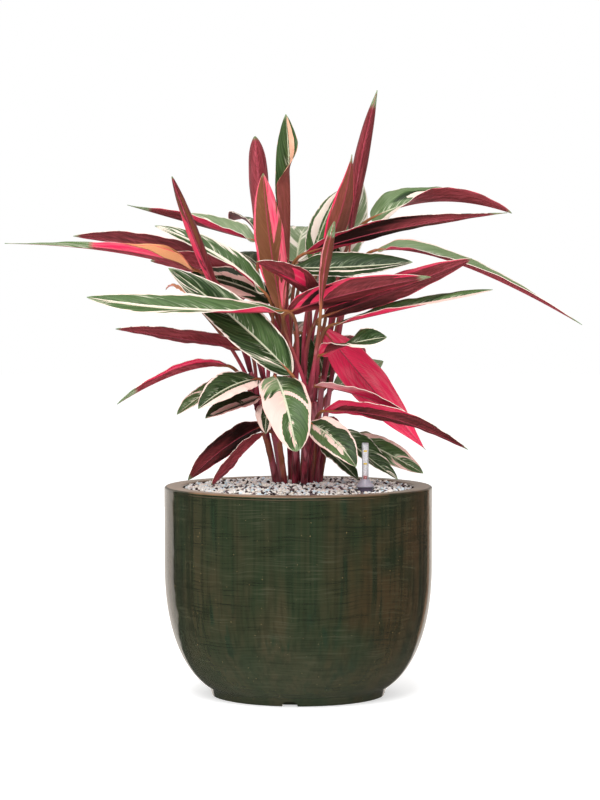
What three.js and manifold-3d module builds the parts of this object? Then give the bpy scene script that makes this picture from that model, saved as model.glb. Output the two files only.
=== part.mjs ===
// A prayer plant with long patterned leaves, grown in mineral granules in a glazed pot.
// Millimetres, +Z up. The origin is the middle of the pot's underside, and -Y is the front.

import * as THREE from "three";
import { mergeVertices } from "three/addons/utils/BufferGeometryUtils.js";
import Module from "manifold-3d";

const wasm = await Module();
wasm.setup();

// ---------------------------------------------------------------- driving dimensions

const GAP = 0.3; // clearance between pieces that touch
const FILL_GAP = 0.4; // clearance of the granules to the pot's faceted wall
const WELD = 1e-4; // points closer than this are one point

const POT = {
  radius: 161,
  height: 252,
  lipWidth: 22,
  lipOuterRound: 3,
  lipInnerRound: 3,
  bowlTop: 158, // the straight wall starts here
  bowlWaist: 72, // radius that the bowl's curve springs from
  bowlFullness: 2.22, // 2 is an ellipse, and more is fuller
  footHeight: 8.5,
  footTopRadius: 106,
  footRadius: 104.5,
  footBevel: 1.5,
  floor: 20,
  floorRadius: 85,
  innerBowlTop: 160,
  notchWidth: 18,
  notchHeight: 6,
  notchDepth: 16,
  notchCount: 4,
  firstNotchAngle: -95.5,
  sides: 32,
};

const ROOTS = { topRadius: 72, bottomRadius: 62, bottom: 90, top: 236 };

const GRAVEL = {
  crown: 256.5, // height at the middle
  atWall: 248, // height beside the lip
  rings: 7,
  sides: 28,
  relief: 1.3,
  seed: 7,
};

const GAUGE = {
  at: [79, -68],
  pipeRadius: 6,
  pipeBore: 4.7,
  pipeBottom: 50,
  sillBore: 2.6,
  sillHeight: 3,
  ledgeBottom: 256,
  ledgeTop: 258.5,
  ledgeBore: 2.8,
  collarBottom: 249,
  collarBrim: 256.6,
  collarTop: 265,
  collarRadius: 10.8,
  collarSkirtRadius: 8.9,
  collarTopRadius: 5.4,
  tubeRadius: 4,
  tubeBore: 3,
  tubeTop: 308,
  tubeCap: 1.6,
  floatRadius: 3.9,
  floatLength: 60,
  rodRadius: 1.2,
  tipRadius: 2.2,
  tipBottom: 262.5,
  tipTop: 269,
  sides: 16,
};

const CANE = { start: 225, rootRadius: 4.6, tipRadius: 3, sides: 6, steps: 4, spread: 0.35 };

const LEAF = {
  edgeThickness: 0.9,
  ribTop: 0.7,
  ribBottom: 1.5,
  tipHalfWidth: 0.8,
  stalkRadius: 1.9,
  stalkRootRadius: 2.6,
  stalkSteps: 3,
  forkStep: 0.14, // of the cane, from one leaf's fork down to the next
  stalkRise: 0.5, // pull of a stalk along its cane, as a share of its length
  stalkArch: 0.22, // pull of a stalk along its blade
  neck: 0.14, // share of the blade over which the round stalk flattens
  stations: [0, 0.08, 0.2, 0.36, 0.54, 0.72, 0.88, 1],
};

// ---------------------------------------------------------------- materials

const finish = (color, roughness, metalness = 0) =>
  new THREE.MeshStandardMaterial({ color, roughness, metalness });

const FINISHES = {
  glaze: finish("#26362c", 0.2),
  granules: finish("#cfc6bd", 0.8),
  roots: finish("#5b4433", 0.95),
  gaugeGrey: finish("#a9a5b4", 0.35),
  clear: finish("#e6e9ea", 0.05),
  indicator: finish("#a8322a", 0.4),
  leaf: finish("#4c6b48", 0.5),
};
FINISHES.clear.transparent = true;
FINISHES.clear.opacity = 0.35;

// ---------------------------------------------------------------- small helpers

const radians = THREE.MathUtils.degToRad;
const mix = THREE.MathUtils.lerp;
const smooth = (value, from, to) => THREE.MathUtils.smoothstep(value, from, to);
const vector = ([x, y, z]) => new THREE.Vector3(x, y, z);

/** Points of an ellipse's arc in a profile: radius and height, angles in degrees. */
function arc(centreRadius, centreHeight, reach, rise, from, to, steps) {
  return Array.from({ length: steps + 1 }, (_, step) => {
    const angle = radians(mix(from, to, step / steps));
    return [centreRadius + reach * Math.cos(angle), centreHeight + rise * Math.sin(angle)];
  });
}

/** A solid turned about the Z axis from [radius, height] points that run up its outside. */
function turned(profile, sides) {
  const outline = profile.map(([radius, height]) => new THREE.Vector2(radius, height));
  return solid(new THREE.LatheGeometry(outline, sides).rotateX(Math.PI / 2));
}

/** A closed three.js geometry as a solid, with its seam welded and its faces outward. */
function solid(geometry) {
  const bare = geometry.clone();
  bare.deleteAttribute("normal");
  bare.deleteAttribute("uv");
  const welded = mergeVertices(bare, WELD);
  const points = welded.attributes.position.array;
  const corners = Array.from(welded.index.array);
  const faces = [];
  for (let at = 0; at < corners.length; at += 3) {
    const [a, b, c] = corners.slice(at, at + 3);
    if (a !== b && b !== c && c !== a) faces.push([a, b, c]);
  }
  const corner = (index) => new THREE.Vector3().fromArray(points, index * 3);
  const volume = faces.reduce(
    (sum, [a, b, c]) => sum + corner(a).dot(corner(b).cross(corner(c))), 0);
  const outward = volume < 0 ? faces.map(([a, b, c]) => [a, c, b]) : faces;
  return new wasm.Manifold(new wasm.Mesh({
    numProp: 3,
    vertProperties: new Float32Array(points),
    triVerts: new Uint32Array(outward.flat()),
  }));
}

/** A solid's surface as a three.js geometry. */
function surface(body) {
  const { vertProperties, triVerts } = body.getMesh();
  const geometry = new THREE.BufferGeometry();
  geometry.setAttribute("position", new THREE.BufferAttribute(vertProperties, 3));
  geometry.setIndex(new THREE.BufferAttribute(triVerts, 1));
  geometry.computeVertexNormals();
  return geometry;
}

/** A named piece of the object. */
function piece(name, body, material) {
  const mesh = new THREE.Mesh(surface(body), material);
  mesh.name = name;
  return mesh;
}

/** Repeatable random numbers from 0 to 1. */
function seededDraws(seed) {
  let state = seed;
  return () => {
    state = (state * 16807) % 2147483647;
    return state / 2147483647;
  };
}

/**
 * A closed skin over rings of points, each ring listed clockwise as seen along the way.
 * splits says for each side of the ring which diagonal its four-sided faces are cut along.
 */
function loft(rings, splits, capFaces) {
  const count = rings[0].length;
  const faces = [];
  for (let ring = 0; ring + 1 < rings.length; ring += 1) {
    for (let side = 0; side < count; side += 1) {
      const a = ring * count + side;
      const b = ring * count + ((side + 1) % count);
      const c = b + count;
      const d = a + count;
      faces.push(...(splits[side] ? [[a, b, d], [b, c, d]] : [[a, b, c], [a, c, d]]));
    }
  }
  const last = (rings.length - 1) * count;
  for (const [a, b, c] of capFaces) {
    faces.push([a, c, b], [last + a, last + b, last + c]);
  }
  const geometry = new THREE.BufferGeometry();
  const positions = rings.flat().flatMap((point) => point.toArray());
  geometry.setAttribute("position", new THREE.Float32BufferAttribute(positions, 3));
  geometry.setIndex(faces.flat());
  return solid(geometry);
}

// ---------------------------------------------------------------- the pot

/** The radius of the pot's outer bowl at a height. */
function bowlRadius(height) {
  const drop = (POT.bowlTop - height) / POT.bowlTop;
  const full = (1 - drop ** POT.bowlFullness) ** (1 / POT.bowlFullness);
  return POT.bowlWaist + (POT.radius - POT.bowlWaist) * full;
}

function makePot() {
  const inner = POT.radius - POT.lipWidth;
  const outerRound = POT.lipOuterRound;
  const innerRound = POT.lipInnerRound;
  const bowlHeights = [POT.footHeight + 1.5, 19, 34, 56, 84, 118];
  const profile = [
    [0, 0],
    [POT.footRadius - POT.footBevel, 0],
    [POT.footRadius, POT.footBevel],
    [POT.footTopRadius, POT.footHeight],
    ...bowlHeights.map((height) => [bowlRadius(height), height]),
    [POT.radius, POT.bowlTop],
    ...arc(POT.radius - outerRound, POT.height - outerRound, outerRound, outerRound, 0, 90, 3),
    ...arc(inner + innerRound, POT.height - innerRound, innerRound, innerRound, 90, 180, 2),
    ...innerBowl(),
    [0, POT.floor],
  ];
  let pot = turned(profile, POT.sides);
  for (let index = 0; index < POT.notchCount; index += 1) {
    const angle = radians(POT.firstNotchAngle + (360 / POT.notchCount) * index);
    pot = pot.subtract(footNotch(angle));
  }
  return pot;
}

/** A low arched drain notch, cut through the foot's rim from outside. */
function footNotch(angle) {
  const half = POT.notchWidth / 2;
  const reach = 12;
  const arch = new THREE.Shape();
  arch.moveTo(-half, -1);
  arch.lineTo(half, -1);
  arch.lineTo(half, POT.notchHeight * 0.35);
  arch.quadraticCurveTo(half * 0.7, POT.notchHeight, half * 0.25, POT.notchHeight);
  arch.lineTo(-half * 0.25, POT.notchHeight);
  arch.quadraticCurveTo(-half * 0.7, POT.notchHeight, -half, POT.notchHeight * 0.35);
  const cutter = new THREE.ExtrudeGeometry(arch, {
    depth: POT.notchDepth + reach,
    bevelEnabled: false,
    curveSegments: 3,
  });
  cutter.rotateX(Math.PI / 2).rotateZ(Math.PI / 2);
  cutter.translate(POT.footRadius - POT.notchDepth, 0, 0).rotateZ(angle);
  return solid(cutter);
}

/** The pot's rounded inner wall from its straight part down to the floor, or what fits in it. */
function innerBowl(gap = 0) {
  const reach = POT.radius - POT.lipWidth - POT.floorRadius - gap;
  const depth = POT.innerBowlTop - POT.floor - gap;
  return arc(POT.floorRadius, POT.innerBowlTop, reach, depth, 0, -90, 5);
}

// ---------------------------------------------------------------- roots and granules

function makeRootBall(caneHoles) {
  const { topRadius, bottomRadius, bottom, top } = ROOTS;
  const ball = turned([
    [0, bottom + GAP],
    [bottomRadius - GAP - 4, bottom + GAP],
    [bottomRadius - GAP, bottom + GAP + 4],
    [topRadius - GAP, top],
    [0, top],
  ], POT.sides);
  return ball.subtract(caneHoles);
}

function makeGranuleFill(gaugeHole) {
  const { topRadius, bottomRadius, bottom, top } = ROOTS;
  const wall = innerBowl(FILL_GAP).reverse();
  const fill = turned([
    [0, POT.floor + FILL_GAP],
    ...wall,
    [wall.at(-1)[0], top],
    [topRadius, top],
    [bottomRadius, bottom],
    [0, bottom],
  ], POT.sides);
  return fill.subtract(gaugeHole);
}

/** The granules' top layer: a low dome with an uneven face, open where things stand in it. */
function makeGravelTop(holes) {
  const draw = seededDraws(GRAVEL.seed);
  const base = ROOTS.top + GAP;
  const wall = (POT.radius - POT.lipWidth) * Math.cos(Math.PI / POT.sides) - FILL_GAP;
  const points = [new THREE.Vector3(0, 0, GRAVEL.crown), new THREE.Vector3(0, 0, base)];
  const faces = [];
  const spot = (ring, side) => 2 + (ring - 1) * GRAVEL.sides + (side % GRAVEL.sides);
  for (let ring = 1; ring <= GRAVEL.rings; ring += 1) {
    for (let side = 0; side < GRAVEL.sides; side += 1) {
      const share = ring / GRAVEL.rings;
      const angle = ((side + 0.5 * (ring % 2)) / GRAVEL.sides) * 2 * Math.PI;
      const edge = ring === GRAVEL.rings;
      const bump = edge ? 0 : (draw() - 0.5) * 2 * GRAVEL.relief;
      const height = mix(GRAVEL.crown, GRAVEL.atWall, share * share) + bump;
      const reach = wall * share;
      points.push(new THREE.Vector3(reach * Math.cos(angle), reach * Math.sin(angle), height));
    }
  }
  const foot = points.length;
  for (let side = 0; side < GRAVEL.sides; side += 1) {
    const above = points[spot(GRAVEL.rings, side)];
    points.push(new THREE.Vector3(above.x, above.y, base));
  }
  for (let side = 0; side < GRAVEL.sides; side += 1) {
    const next = (side + 1) % GRAVEL.sides;
    const rim = spot(GRAVEL.rings, side);
    const nextRim = spot(GRAVEL.rings, next);
    faces.push([0, spot(1, side), spot(1, next)]);
    for (let ring = 1; ring < GRAVEL.rings; ring += 1) {
      const [a, b] = [spot(ring, side), spot(ring, next)];
      const [c, d] = [spot(ring + 1, side), spot(ring + 1, next)];
      faces.push(...(ring % 2 ? [[a, c, d], [a, d, b]] : [[a, c, b], [b, c, d]]));
    }
    faces.push([rim, foot + side, foot + next], [rim, foot + next, nextRim]);
    faces.push([1, foot + next, foot + side]);
  }
  const geometry = new THREE.BufferGeometry().setFromPoints(points);
  geometry.setIndex(faces.flat());
  return holes.reduce((layer, hole) => layer.subtract(hole), solid(geometry));
}

// ---------------------------------------------------------------- the water level gauge

const atGauge = (body) => body.translate([GAUGE.at[0], GAUGE.at[1], 0]);

/** The pipe in the granules, with the flared collar that the sight tube stands in. */
function makeGaugeBody() {
  const seat = GAUGE.tubeRadius + GAP;
  return atGauge(turned([
    [GAUGE.sillBore, GAUGE.pipeBottom],
    [GAUGE.pipeRadius, GAUGE.pipeBottom],
    [GAUGE.pipeRadius, GAUGE.collarBottom],
    [GAUGE.collarSkirtRadius, GAUGE.collarBottom],
    [GAUGE.collarSkirtRadius, GAUGE.collarBrim - 1.4],
    [GAUGE.collarRadius, GAUGE.collarBrim],
    [GAUGE.collarRadius - 1, GAUGE.collarBrim + 1.4],
    [mix(GAUGE.collarRadius, GAUGE.collarTopRadius, 0.6), GAUGE.collarTop - 4],
    [GAUGE.collarTopRadius, GAUGE.collarTop],
    [seat, GAUGE.collarTop],
    [seat, GAUGE.ledgeTop],
    [GAUGE.ledgeBore, GAUGE.ledgeTop],
    [GAUGE.ledgeBore, GAUGE.ledgeBottom],
    [GAUGE.pipeBore, GAUGE.ledgeBottom - 2],
    [GAUGE.pipeBore, GAUGE.pipeBottom + GAUGE.sillHeight],
    [GAUGE.sillBore, GAUGE.pipeBottom + GAUGE.sillHeight],
    [GAUGE.sillBore, GAUGE.pipeBottom],
  ], GAUGE.sides));
}

/** The clear tube, closed at the top. */
function makeSightTube() {
  return atGauge(turned([
    [GAUGE.tubeBore, GAUGE.ledgeTop + GAP],
    [GAUGE.tubeRadius, GAUGE.ledgeTop + GAP],
    [GAUGE.tubeRadius, GAUGE.tubeTop - 0.8],
    [GAUGE.tubeRadius - 0.8, GAUGE.tubeTop],
    [0, GAUGE.tubeTop],
    [0, GAUGE.tubeTop - GAUGE.tubeCap],
    [GAUGE.tubeBore, GAUGE.tubeTop - GAUGE.tubeCap],
    [GAUGE.tubeBore, GAUGE.ledgeTop + GAP],
  ], GAUGE.sides));
}

/** The float on the sill, with its rod and the coloured tip that shows in the tube. */
function makeGaugeFloat() {
  const bottom = GAUGE.pipeBottom + GAUGE.sillHeight + GAP;
  const top = bottom + GAUGE.floatLength;
  return atGauge(turned([
    [0, bottom],
    [GAUGE.floatRadius, bottom],
    [GAUGE.floatRadius, top],
    [GAUGE.rodRadius, top + 3],
    [GAUGE.rodRadius, GAUGE.tipBottom],
    [GAUGE.tipRadius, GAUGE.tipBottom],
    [GAUGE.tipRadius, GAUGE.tipTop],
    [0, GAUGE.tipTop],
  ], GAUGE.sides));
}

/** What the gauge leaves free in the granules, with clearance all round. */
function makeGaugeHole() {
  return atGauge(turned([
    [0, GAUGE.pipeBottom - GAP],
    [GAUGE.pipeRadius + GAP, GAUGE.pipeBottom - GAP],
    [GAUGE.pipeRadius + GAP, GAUGE.collarBottom - GAP],
    [GAUGE.collarRadius + GAP, GAUGE.collarBottom - GAP],
    [GAUGE.collarRadius + GAP, GAUGE.collarTop],
    [0, GAUGE.collarTop],
  ], GAUGE.sides));
}

// ---------------------------------------------------------------- leaves

// A blade's ring runs left edge, rib, right edge over the upper face, then back underneath.
const BLADE_SPLITS = [0, 1, 0, 0, 1, 0];
const BLADE_CAPS = [[0, 1, 4], [0, 4, 5], [1, 2, 3], [1, 3, 4]];

/** The half width of a blade at a share of its length, 1 at its widest. */
function bladeShape(share, belly, taper) {
  const rise = (taper * belly) / (1 - belly);
  const widest = belly ** rise * (1 - belly) ** taper;
  return (share ** rise * (1 - share) ** taper) / widest;
}

/** The blade's midrib: a curve through its base, its middle and its tip. */
function midrib({ base, mid, tip }) {
  const middle = vector(mid);
  const control = middle.clone().multiplyScalar(2).sub(vector(base).lerp(vector(tip), 0.5));
  return new THREE.QuadraticBezierCurve3(vector(base), control, vector(tip));
}

/** Which way a blade's upper face looks: to the front at 0 degrees, up at 90, back at 180. */
function faceDirection(tangent, degrees, side) {
  const facing = new THREE.Vector3(side, -Math.cos(radians(degrees)), Math.sin(radians(degrees)));
  return facing.addScaledVector(tangent, -facing.dot(tangent)).normalize();
}

/** The six points of a leaf's cross-section, each half folded up from the rib by its angle. */
function leafRing(centre, up, across, form) {
  const { half, edge, ribTop, ribBottom, left = 0, right = 0, wave = 0 } = form;
  const point = (sideways, upward) =>
    centre.clone().addScaledVector(across, sideways).addScaledVector(up, upward);
  const margin = (hand, fold, offset) => point(
    hand * (Math.cos(fold) * half - Math.sin(fold) * offset),
    Math.sin(fold) * half + Math.cos(fold) * offset + wave,
  );
  const lean = (left - right) / 2;
  const narrowing = Math.max(0.4, Math.cos((left + right) / 2));
  const rib = (offset) => point(
    (Math.sin(lean) * offset) / narrowing, (Math.cos(lean) * offset) / narrowing);
  return [
    margin(-1, left, edge),
    rib(ribTop),
    margin(1, right, edge),
    margin(1, right, -edge),
    rib(-ribBottom),
    margin(-1, left, -edge),
  ];
}

/** One leaf: its round stalk from a point on the cane, and its folded, waved blade. */
function makeLeaf(leaf, forkAt, caneDirection) {
  const { width, turn, fold = 15, belly = 0.42, taper = 0.8, side = 0, wave = 2 } = leaf;
  const { left = [fold, fold], right = [fold, fold], opens = [0, 1] } = leaf;
  const rib = midrib(leaf);
  const round = LEAF.stalkRadius;
  const bladeRings = LEAF.stations.map((share) => {
    const tangent = rib.getTangent(share);
    const up = faceDirection(tangent, mix(turn[0], turn[1], share), side);
    const across = tangent.clone().cross(up);
    const flat = smooth(share, 0, LEAF.neck);
    const open = THREE.MathUtils.clamp((share - opens[0]) / (opens[1] - opens[0]), 0, 1);
    const spread = (width / 2) * bladeShape(share, belly, taper);
    const swing = wave * Math.sin(share * 11 + leaf.base[0]) * flat * (1 - share);
    return leafRing(rib.getPoint(share), up, across, {
      half: Math.max(spread, round * 0.87 * (1 - share), LEAF.tipHalfWidth),
      edge: mix(round * 0.5, LEAF.edgeThickness / 2, flat),
      ribTop: mix(round, LEAF.ribTop, flat),
      ribBottom: mix(round, mix(LEAF.ribBottom, LEAF.edgeThickness / 2, share), flat),
      left: radians(mix(left[0], left[1], open)) * flat,
      right: radians(mix(right[0], right[1], open)) * flat,
      wave: swing,
    });
  });
  return loft([...stalkRings(leaf, rib, forkAt, caneDirection), ...bladeRings],
    BLADE_SPLITS, BLADE_CAPS);
}

/** The stalk's rings from the cane up to the blade, turned on from the blade's own base. */
function stalkRings({ turn, side = 0 }, rib, forkAt, caneDirection) {
  const base = rib.getPoint(0);
  const tangent = rib.getTangent(0);
  const length = base.distanceTo(forkAt);
  const route = new THREE.CubicBezierCurve3(
    forkAt,
    forkAt.clone().addScaledVector(caneDirection, length * LEAF.stalkRise),
    base.clone().addScaledVector(tangent, -length * LEAF.stalkArch),
    base,
  );
  let up = faceDirection(tangent, turn[0], side);
  const rings = [];
  for (let step = LEAF.stalkSteps - 1; step >= 0; step -= 1) {
    const share = step / LEAF.stalkSteps;
    const along = route.getTangent(share);
    up = up.clone().addScaledVector(along, -up.dot(along)).normalize();
    const round = mix(LEAF.stalkRootRadius, LEAF.stalkRadius, share);
    rings.unshift(leafRing(route.getPoint(share), up, along.clone().cross(up), {
      half: round * 0.87,
      edge: round * 0.5,
      ribTop: round,
      ribBottom: round,
    }));
  }
  return rings;
}

// ---------------------------------------------------------------- shoots

/** The cane's middle line: upright in the granules, then leaning out to its top. */
function caneLine({ foot, top }) {
  const start = new THREE.Vector3(foot[0], foot[1], CANE.start);
  const end = vector(top);
  const control = new THREE.Vector3(
    mix(foot[0], top[0], CANE.spread),
    mix(foot[1], top[1], CANE.spread),
    mix(CANE.start, top[2], 0.5),
  );
  return new THREE.QuadraticBezierCurve3(start, control, end);
}

/** A cane as a tapered rod, or with a gap all round as the hole that it stands in. */
function makeCane(shoot, gap = 0) {
  const line = caneLine(shoot);
  const rings = [];
  for (let step = 0; step <= CANE.steps; step += 1) {
    const share = step / CANE.steps;
    const centre = line.getPoint(share);
    const along = line.getTangent(share);
    const across = new THREE.Vector3(1, 0, 0).addScaledVector(along, -along.x).normalize();
    const front = across.clone().cross(along);
    const radius = mix(CANE.rootRadius, CANE.tipRadius, share) + gap;
    if (step === 0) centre.addScaledVector(along, -gap);
    rings.push(Array.from({ length: CANE.sides }, (_, index) => {
      const angle = (-2 * Math.PI * index) / CANE.sides;
      return centre.clone()
        .addScaledVector(across, radius * Math.cos(angle))
        .addScaledVector(front, -radius * Math.sin(angle));
    }));
  }
  const fan = Array.from({ length: CANE.sides - 2 }, (_, index) => [0, index + 1, index + 2]);
  return loft(rings, Array(CANE.sides).fill(0), fan);
}

/** A whole shoot: its cane with every leaf grown on, the highest fork first. */
function makeShoot(shoot) {
  const line = caneLine(shoot);
  return shoot.leaves.reduce((body, leaf, index) => {
    const share = 0.98 - LEAF.forkStep * index;
    return body.add(makeLeaf(leaf, line.getPoint(share), line.getTangent(share)));
  }, makeCane(shoot));
}

// Each leaf: where its blade starts, its middle and its tip, its width, and which way its upper
// face looks at the base and at the tip (0 front, 90 up, 180 back). Both halves fold up by fold,
// or each by its own angles at the base and at the tip, left and right as seen from the base, and
// opens gives the shares of the blade between which the fold changes.
const leaf = (base, mid, tip, width, turn, form = {}) => ({ base, mid, tip, width, turn, ...form });

const SHOOTS = [
  {
    name: "shoot_left_outer",
    foot: [-21.8, 6.1],
    top: [-58, 5, 389],
    leaves: [
      leaf([-92, -52, 475], [-124, -68, 553], [-148, -80, 621], 38, [180, 170], { fold: 70 }),
      leaf([-101, 50, 518], [-180, 62, 538], [-275, 70, 552], 44, [120, 120], { fold: 20 }),
      leaf([-64, -25, 417], [-140, -45, 431], [-216, -55, 442], 41, [114, 114], { fold: 12 }),
      leaf([-126, 14, 473], [-147, 18, 491], [-160, 21, 487], 13, [70, 90]),
    ],
  },
  {
    name: "shoot_left_upper",
    foot: [-15.2, -2],
    top: [-42, -4, 379],
    leaves: [
      leaf([-120, 0, 510], [-226, -25, 534], [-348, -40, 543], 40, [70, 110],
        { left: [60, 40], right: [60, 15], belly: 0.27, taper: 2.1 }),
      leaf([-70, 15, 502], [-122, 22, 515], [-178, 15, 522], 44, [130, 130], { fold: 20 }),
      leaf([-40, -20, 484], [-99, -22, 529], [-171, -15, 564], 42, [50, 60], { left: [60, 10] }),
      leaf([-29, -2, 473], [-82, 3, 496], [-134, 0, 504], 42, [45, 45]),
    ],
  },
  {
    name: "shoot_left_front",
    foot: [-4.1, -24.4],
    top: [-3, -55, 352],
    leaves: [
      leaf([-17, -85, 464], [-126, -122, 465], [-244, -138, 481], 48, [60, 46], { left: [65, -5] }),
      leaf([-8, -92, 390], [-71, -88, 451], [-152, -84, 514], 53, [30, 30], { fold: 12 }),
      leaf([-28, -95, 388], [-16, -158, 365], [-2, -190, 306], 56, [60, 60],
        { fold: 8, belly: 0.54, taper: 0.55 }),
    ],
  },
  {
    name: "shoot_left_lower",
    foot: [-19.6, -11.6],
    top: [-50, -36, 350],
    leaves: [
      leaf([-85, -40, 398], [-142, -70, 390], [-212, -95, 355], 36, [110, 115], { fold: 20 }),
      leaf([-76, -50, 384], [-112, -75, 365], [-142, -95, 343], 27, [60, 60]),
      leaf([-48, -80, 384], [-82, -120, 375], [-115, -155, 353], 42, [45, 45]),
      leaf([-43, -65, 363], [-77, -95, 351], [-108, -120, 340], 36, [60, 60], { fold: 25 }),
    ],
  },
  {
    name: "shoot_left_low",
    foot: [-13.5, -20.1],
    top: [-24, -48, 315],
    leaves: [
      leaf([-39, -54, 329], [-84, -57, 304], [-131, -44, 262], 40, [125, 125], { fold: 10 }),
      leaf([-40, -66, 321], [-70, -86, 292], [-102, -96, 260], 34, [120, 120]),
      leaf([-24, -54, 350], [-36, -76, 343], [-38, -88, 320], 30, [60, 60]),
    ],
  },
  {
    name: "shoot_centre",
    foot: [0.3, -6.3],
    top: [-8, -12, 403],
    leaves: [
      leaf([-20, -25, 461], [-34, -35, 547], [-42, -25, 626], 41, [180, 180],
        { fold: 30, belly: 0.48 }),
      leaf([-8, -35, 514], [60, -60, 515], [134, -80, 521], 47, [50, 50], { fold: 12 }),
      leaf([8, -20, 531], [114, -45, 560], [246, -60, 579], 32, [130, 125],
        { fold: 20, belly: 0.38, taper: 1.2 }),
    ],
  },
  {
    name: "shoot_centre_tall",
    foot: [-6.2, 5.5],
    top: [-17, 15, 403],
    leaves: [
      leaf([-50, 15, 505], [-47, 15, 589], [-52, 5, 671], 45, [180, 180], { fold: 60, belly: 0.7 }),
      leaf([-13, 25, 509], [-10, 20, 596], [-15, 15, 698], 36, [0, 0],
        { right: [150, 20], opens: [0.6, 0.85], belly: 0.6 }),
      leaf([-50, 40, 546], [-114, 55, 563], [-209, 75, 590], 50, [45, 85],
        { left: [50, 55], taper: 1.3 }),
      leaf([5, 25, 432], [9, 32, 408], [11, 34, 373], 26, [0, 0]),
    ],
  },
  {
    name: "shoot_front_centre",
    foot: [5.2, -29],
    top: [14, -78, 358],
    leaves: [
      leaf([26, -108, 465], [31, -114, 517], [42, -116, 568], 34, [180, 180],
        { fold: 70, belly: 0.6 }),
      leaf([-12, -68, 462], [58, -92, 484], [154, -110, 504], 40, [140, 130], { fold: 20 }),
      leaf([12, -80, 333], [41, -115, 315], [67, -140, 285], 43, [45, 45], { fold: 12 }),
    ],
  },
  {
    name: "shoot_front_right",
    foot: [12.4, -21.1],
    top: [20, -52, 357],
    leaves: [
      leaf([41, -55, 447], [131, -80, 468], [227, -95, 489], 42, [75, 68],
        { fold: 10, right: [35, 10] }),
      leaf([26, -75, 412], [64, -95, 426], [103, -110, 434], 42, [135, 5]),
      leaf([20, -65, 375], [74, -88, 364], [139, -108, 337], 28, [110, 115], { fold: 20 }),
      leaf([32, -72, 346], [111, -110, 339], [196, -140, 305], 46, [125, 115], { fold: 12 }),
    ],
  },
  {
    name: "shoot_right_inner",
    foot: [9.5, -11.1],
    top: [6, -22, 379],
    leaves: [
      leaf([28, 0, 521], [52, -5, 584], [64, -5, 649], 35, [175, 175], { fold: 45, taper: 1.4 }),
      leaf([31, -30, 457], [116, -55, 489], [204, -75, 525], 40, [140, 140]),
      leaf([26, -15, 444], [86, -45, 373], [150, -70, 300], 47, [172, 172], { fold: 8, taper: 1.25 }),
      leaf([28, -42, 476], [-10, -91, 504], [-48, -128, 522], 36, [120, 120], { fold: 20 }),
    ],
  },
  {
    name: "shoot_right_tall",
    foot: [19, -2.6],
    top: [39, 15, 373],
    leaves: [
      leaf([61, 28, 521], [71, 30, 616], [95, 28, 727], 35, [180, 180],
        { fold: 62, belly: 0.62, taper: 1.1 }),
      leaf([94, 5, 535], [190, -25, 519], [335, -60, 447], 37, [52, 112],
        { left: [20, 40], right: [40, 10], taper: 0.85 }),
    ],
  },
  {
    name: "shoot_right_upper",
    foot: [14.2, 7.9],
    top: [30, 30, 380],
    leaves: [
      leaf([88, 52, 573], [168, 32, 594], [256, 5, 579], 58, [45, 85],
        { right: [10, 60], opens: [0.1, 0.5], belly: 0.34, taper: 0.7 }),
      leaf([57, 66, 520], [64, 72, 580], [68, 76, 640], 44, [10, 10], { fold: 12 }),
      leaf([50, 50, 472], [48, 58, 505], [46, 64, 540], 34, [10, 10]),
      leaf([44, 40, 368], [74, 55, 384], [104, 70, 399], 31, [20, 20]),
    ],
  },
  {
    name: "shoot_right_low",
    foot: [20.8, -13.6],
    top: [34, -22, 308],
    leaves: [
      leaf([47, -20, 320], [78, -28, 292], [118, -45, 263], 38, [50, 70], { fold: 25 }),
      leaf([64, 0, 312], [106, -15, 292], [149, -30, 269], 36, [45, 45], { fold: 12 }),
      leaf([28, -20, 300], [51, -30, 282], [71, -38, 262], 30, [70, 70]),
    ],
  },
  {
    name: "shoot_back_right",
    foot: [4.6, 15.4],
    top: [14, 48, 415],
    leaves: [
      leaf([16, 38, 521], [31, 42, 567], [50, 48, 607], 33, [20, 20]),
      leaf([45, 92, 520], [72, 150, 550], [104, 225, 559], 50, [90, 90]),
      leaf([14, 50, 484], [33, 150, 501], [59, 245, 481], 50, [90, 90]),
      leaf([22, 70, 420], [52, 130, 421], [85, 200, 393], 44, [90, 90]),
    ],
  },
  {
    name: "shoot_back_left",
    foot: [-7.4, 18.3],
    top: [-14, 48, 415],
    leaves: [
      leaf([-45, 60, 541], [-64, 110, 571], [-86, 175, 571], 40, [130, 130]),
      leaf([2, 62, 508], [-9, 140, 550], [-22, 235, 563], 50, [90, 90]),
      leaf([-2, 58, 521], [2, 105, 547], [9, 170, 564], 60, [90, 90]),
      leaf([-45, 75, 512], [-60, 105, 525], [-75, 140, 532], 38, [90, 90]),
      leaf([-49, 34, 499], [-76, 48, 521], [-111, 60, 540], 29, [55, 55]),
      leaf([-16, 45, 474], [-46, 150, 491], [-75, 255, 468], 50, [90, 90]),
    ],
  },
  {
    name: "shoot_rear_left",
    foot: [-0.2, 28.2],
    top: [-4, 60, 340],
    leaves: [
      leaf([-4, 80, 432], [-17, 145, 438], [-35, 215, 405], 46, [90, 90]),
      leaf([-28, 74, 412], [-58, 130, 428], [-86, 190, 419], 44, [90, 90]),
      leaf([-10, 50, 350], [-15, 105, 347], [-19, 155, 310], 40, [90, 90]),
    ],
  },
  {
    name: "shoot_rear_right",
    foot: [13, 23.5],
    top: [26, 56, 340],
    leaves: [
      leaf([24, 64, 408], [30, 68, 388], [31, 68, 362], 26, [0, 0]),
      leaf([28, 52, 380], [42, 112, 388], [56, 170, 382], 42, [90, 90]),
      leaf([16, 45, 328], [32, 92, 320], [49, 130, 289], 38, [90, 90]),
    ],
  },
];

// ---------------------------------------------------------------- the whole plant

const plant = new THREE.Group();
const gaugeHole = makeGaugeHole();
const caneHoles = SHOOTS.map((shoot) => makeCane(shoot, GAP)).reduce((all, hole) => all.add(hole));

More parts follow.
